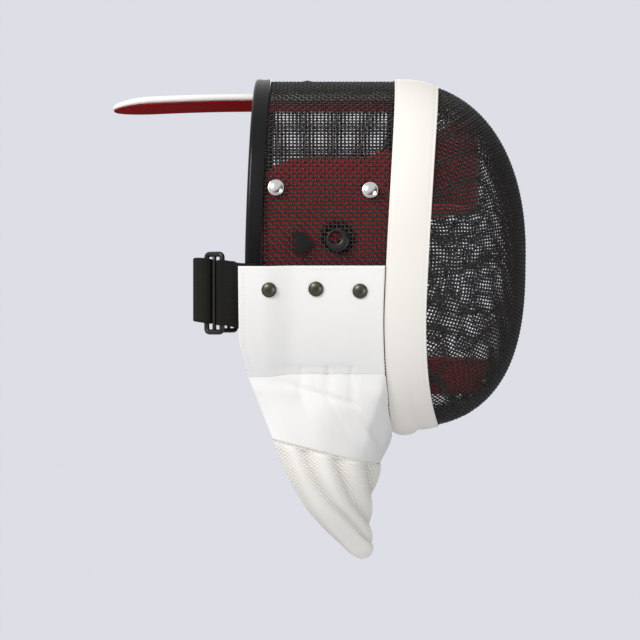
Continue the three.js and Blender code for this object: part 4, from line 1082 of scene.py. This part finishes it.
# ------------------------------------------------------------------ ear rings and side patches
# A glossy black plastic ring with an off-centre hole clips over the mesh at each ear, with a small
# matt black pointed patch behind it.
RING_X, RING_Z, RING_RADIUS, RING_HOLE, HOLE_X, HOLE_Z, RING_HALF = 13.0, -113.0, 8.6, 4.6, -1.6, 2.0, 1.5
PATCH_X, PATCH_Z, PATCH_LENGTH, PATCH_HALF, PATCH_THICKNESS = -19.0, -115.0, 15.0, 8.6, 1.2

patch_plastic = finish("matt_black_plastic", (0.008, 0.008, 0.008), (0.02, 0.02, 0.02), 0.6, patch=120.0,
                       grain=2500.0, wear=0.5, depth=0.0001, gloss=0.12)[0]
ring_turn = np.linspace(0, 2 * np.pi, 72, endpoint=False)[:, None]
ring_angle = np.linspace(0, 2 * np.pi, 20, endpoint=False)[None]
hole_edge = np.stack([HOLE_X + RING_HOLE * np.cos(ring_turn), HOLE_Z + RING_HOLE * np.sin(ring_turn)], -1)
outer_edge = np.stack([RING_RADIUS * np.cos(ring_turn), RING_RADIUS * np.sin(ring_turn)], -1)
ring_share = (0.5 + 0.5 * signed_power(np.cos(ring_angle), 0.7))[..., None]
ring_plan = blend(hole_edge, outer_edge, ring_share)
ring_y = float(half_width(RING_Z)) + 1.6 + RING_HALF + RING_HALF * signed_power(np.sin(ring_angle), 0.7)
ring_points = np.stack(np.broadcast_arrays(RING_X + ring_plan[..., 0], ring_y, RING_Z + ring_plan[..., 1]), -1)
ring_faces = grid_faces(*ring_points.shape[:2], row_ring=True, column_ring=True)

patch_corners = np.array([(0, -PATCH_HALF), (PATCH_LENGTH * 0.4, -PATCH_HALF), (PATCH_LENGTH, 0),
                          (PATCH_LENGTH * 0.4, PATCH_HALF), (0, PATCH_HALF), (0, -PATCH_HALF)], float)
patch_run = np.concatenate([[0], np.cumsum(np.linalg.norm(np.diff(patch_corners, axis=0), axis=-1))])
patch_place = np.linspace(0, patch_run[-1], 90, endpoint=False)
patch_edge = np.stack([np.interp(patch_place, patch_run, patch_corners[:, k]) for k in range(2)], -1)
patch_middle = patch_corners[:5].mean(0)
patch_in = np.array([0, 0.96, 0.99, 1.0, 1.0, 0.99, 0.96, 0])
patch_up = np.array([0, 0, 0.08, 0.25, 0.7, 0.92, 1.0, 1.0]) * PATCH_THICKNESS
patch_plan = patch_middle + (patch_edge - patch_middle)[:, None] * patch_in[None, :, None]
patch_y = float(half_width(PATCH_Z)) + 1.6 + patch_up
patch_points = np.stack(np.broadcast_arrays(PATCH_X + patch_plan[..., 0], patch_y, PATCH_Z + patch_plan[..., 1]), -1)
patch_faces = grid_faces(*patch_points.shape[:2], row_ring=True)
for side_name, side_sign in (("left", 1.0), ("right", -1.0)):
    make_piece(f"ear_ring_clip_{side_name}", ring_points * [1, side_sign, 1], ring_faces,
               loop_plastic, (f"ear_ring_{side_name}",))
    make_piece(f"side_patch_plate_{side_name}", patch_points * [1, side_sign, 1], patch_faces,
               patch_plastic, (f"side_patch_{side_name}",))
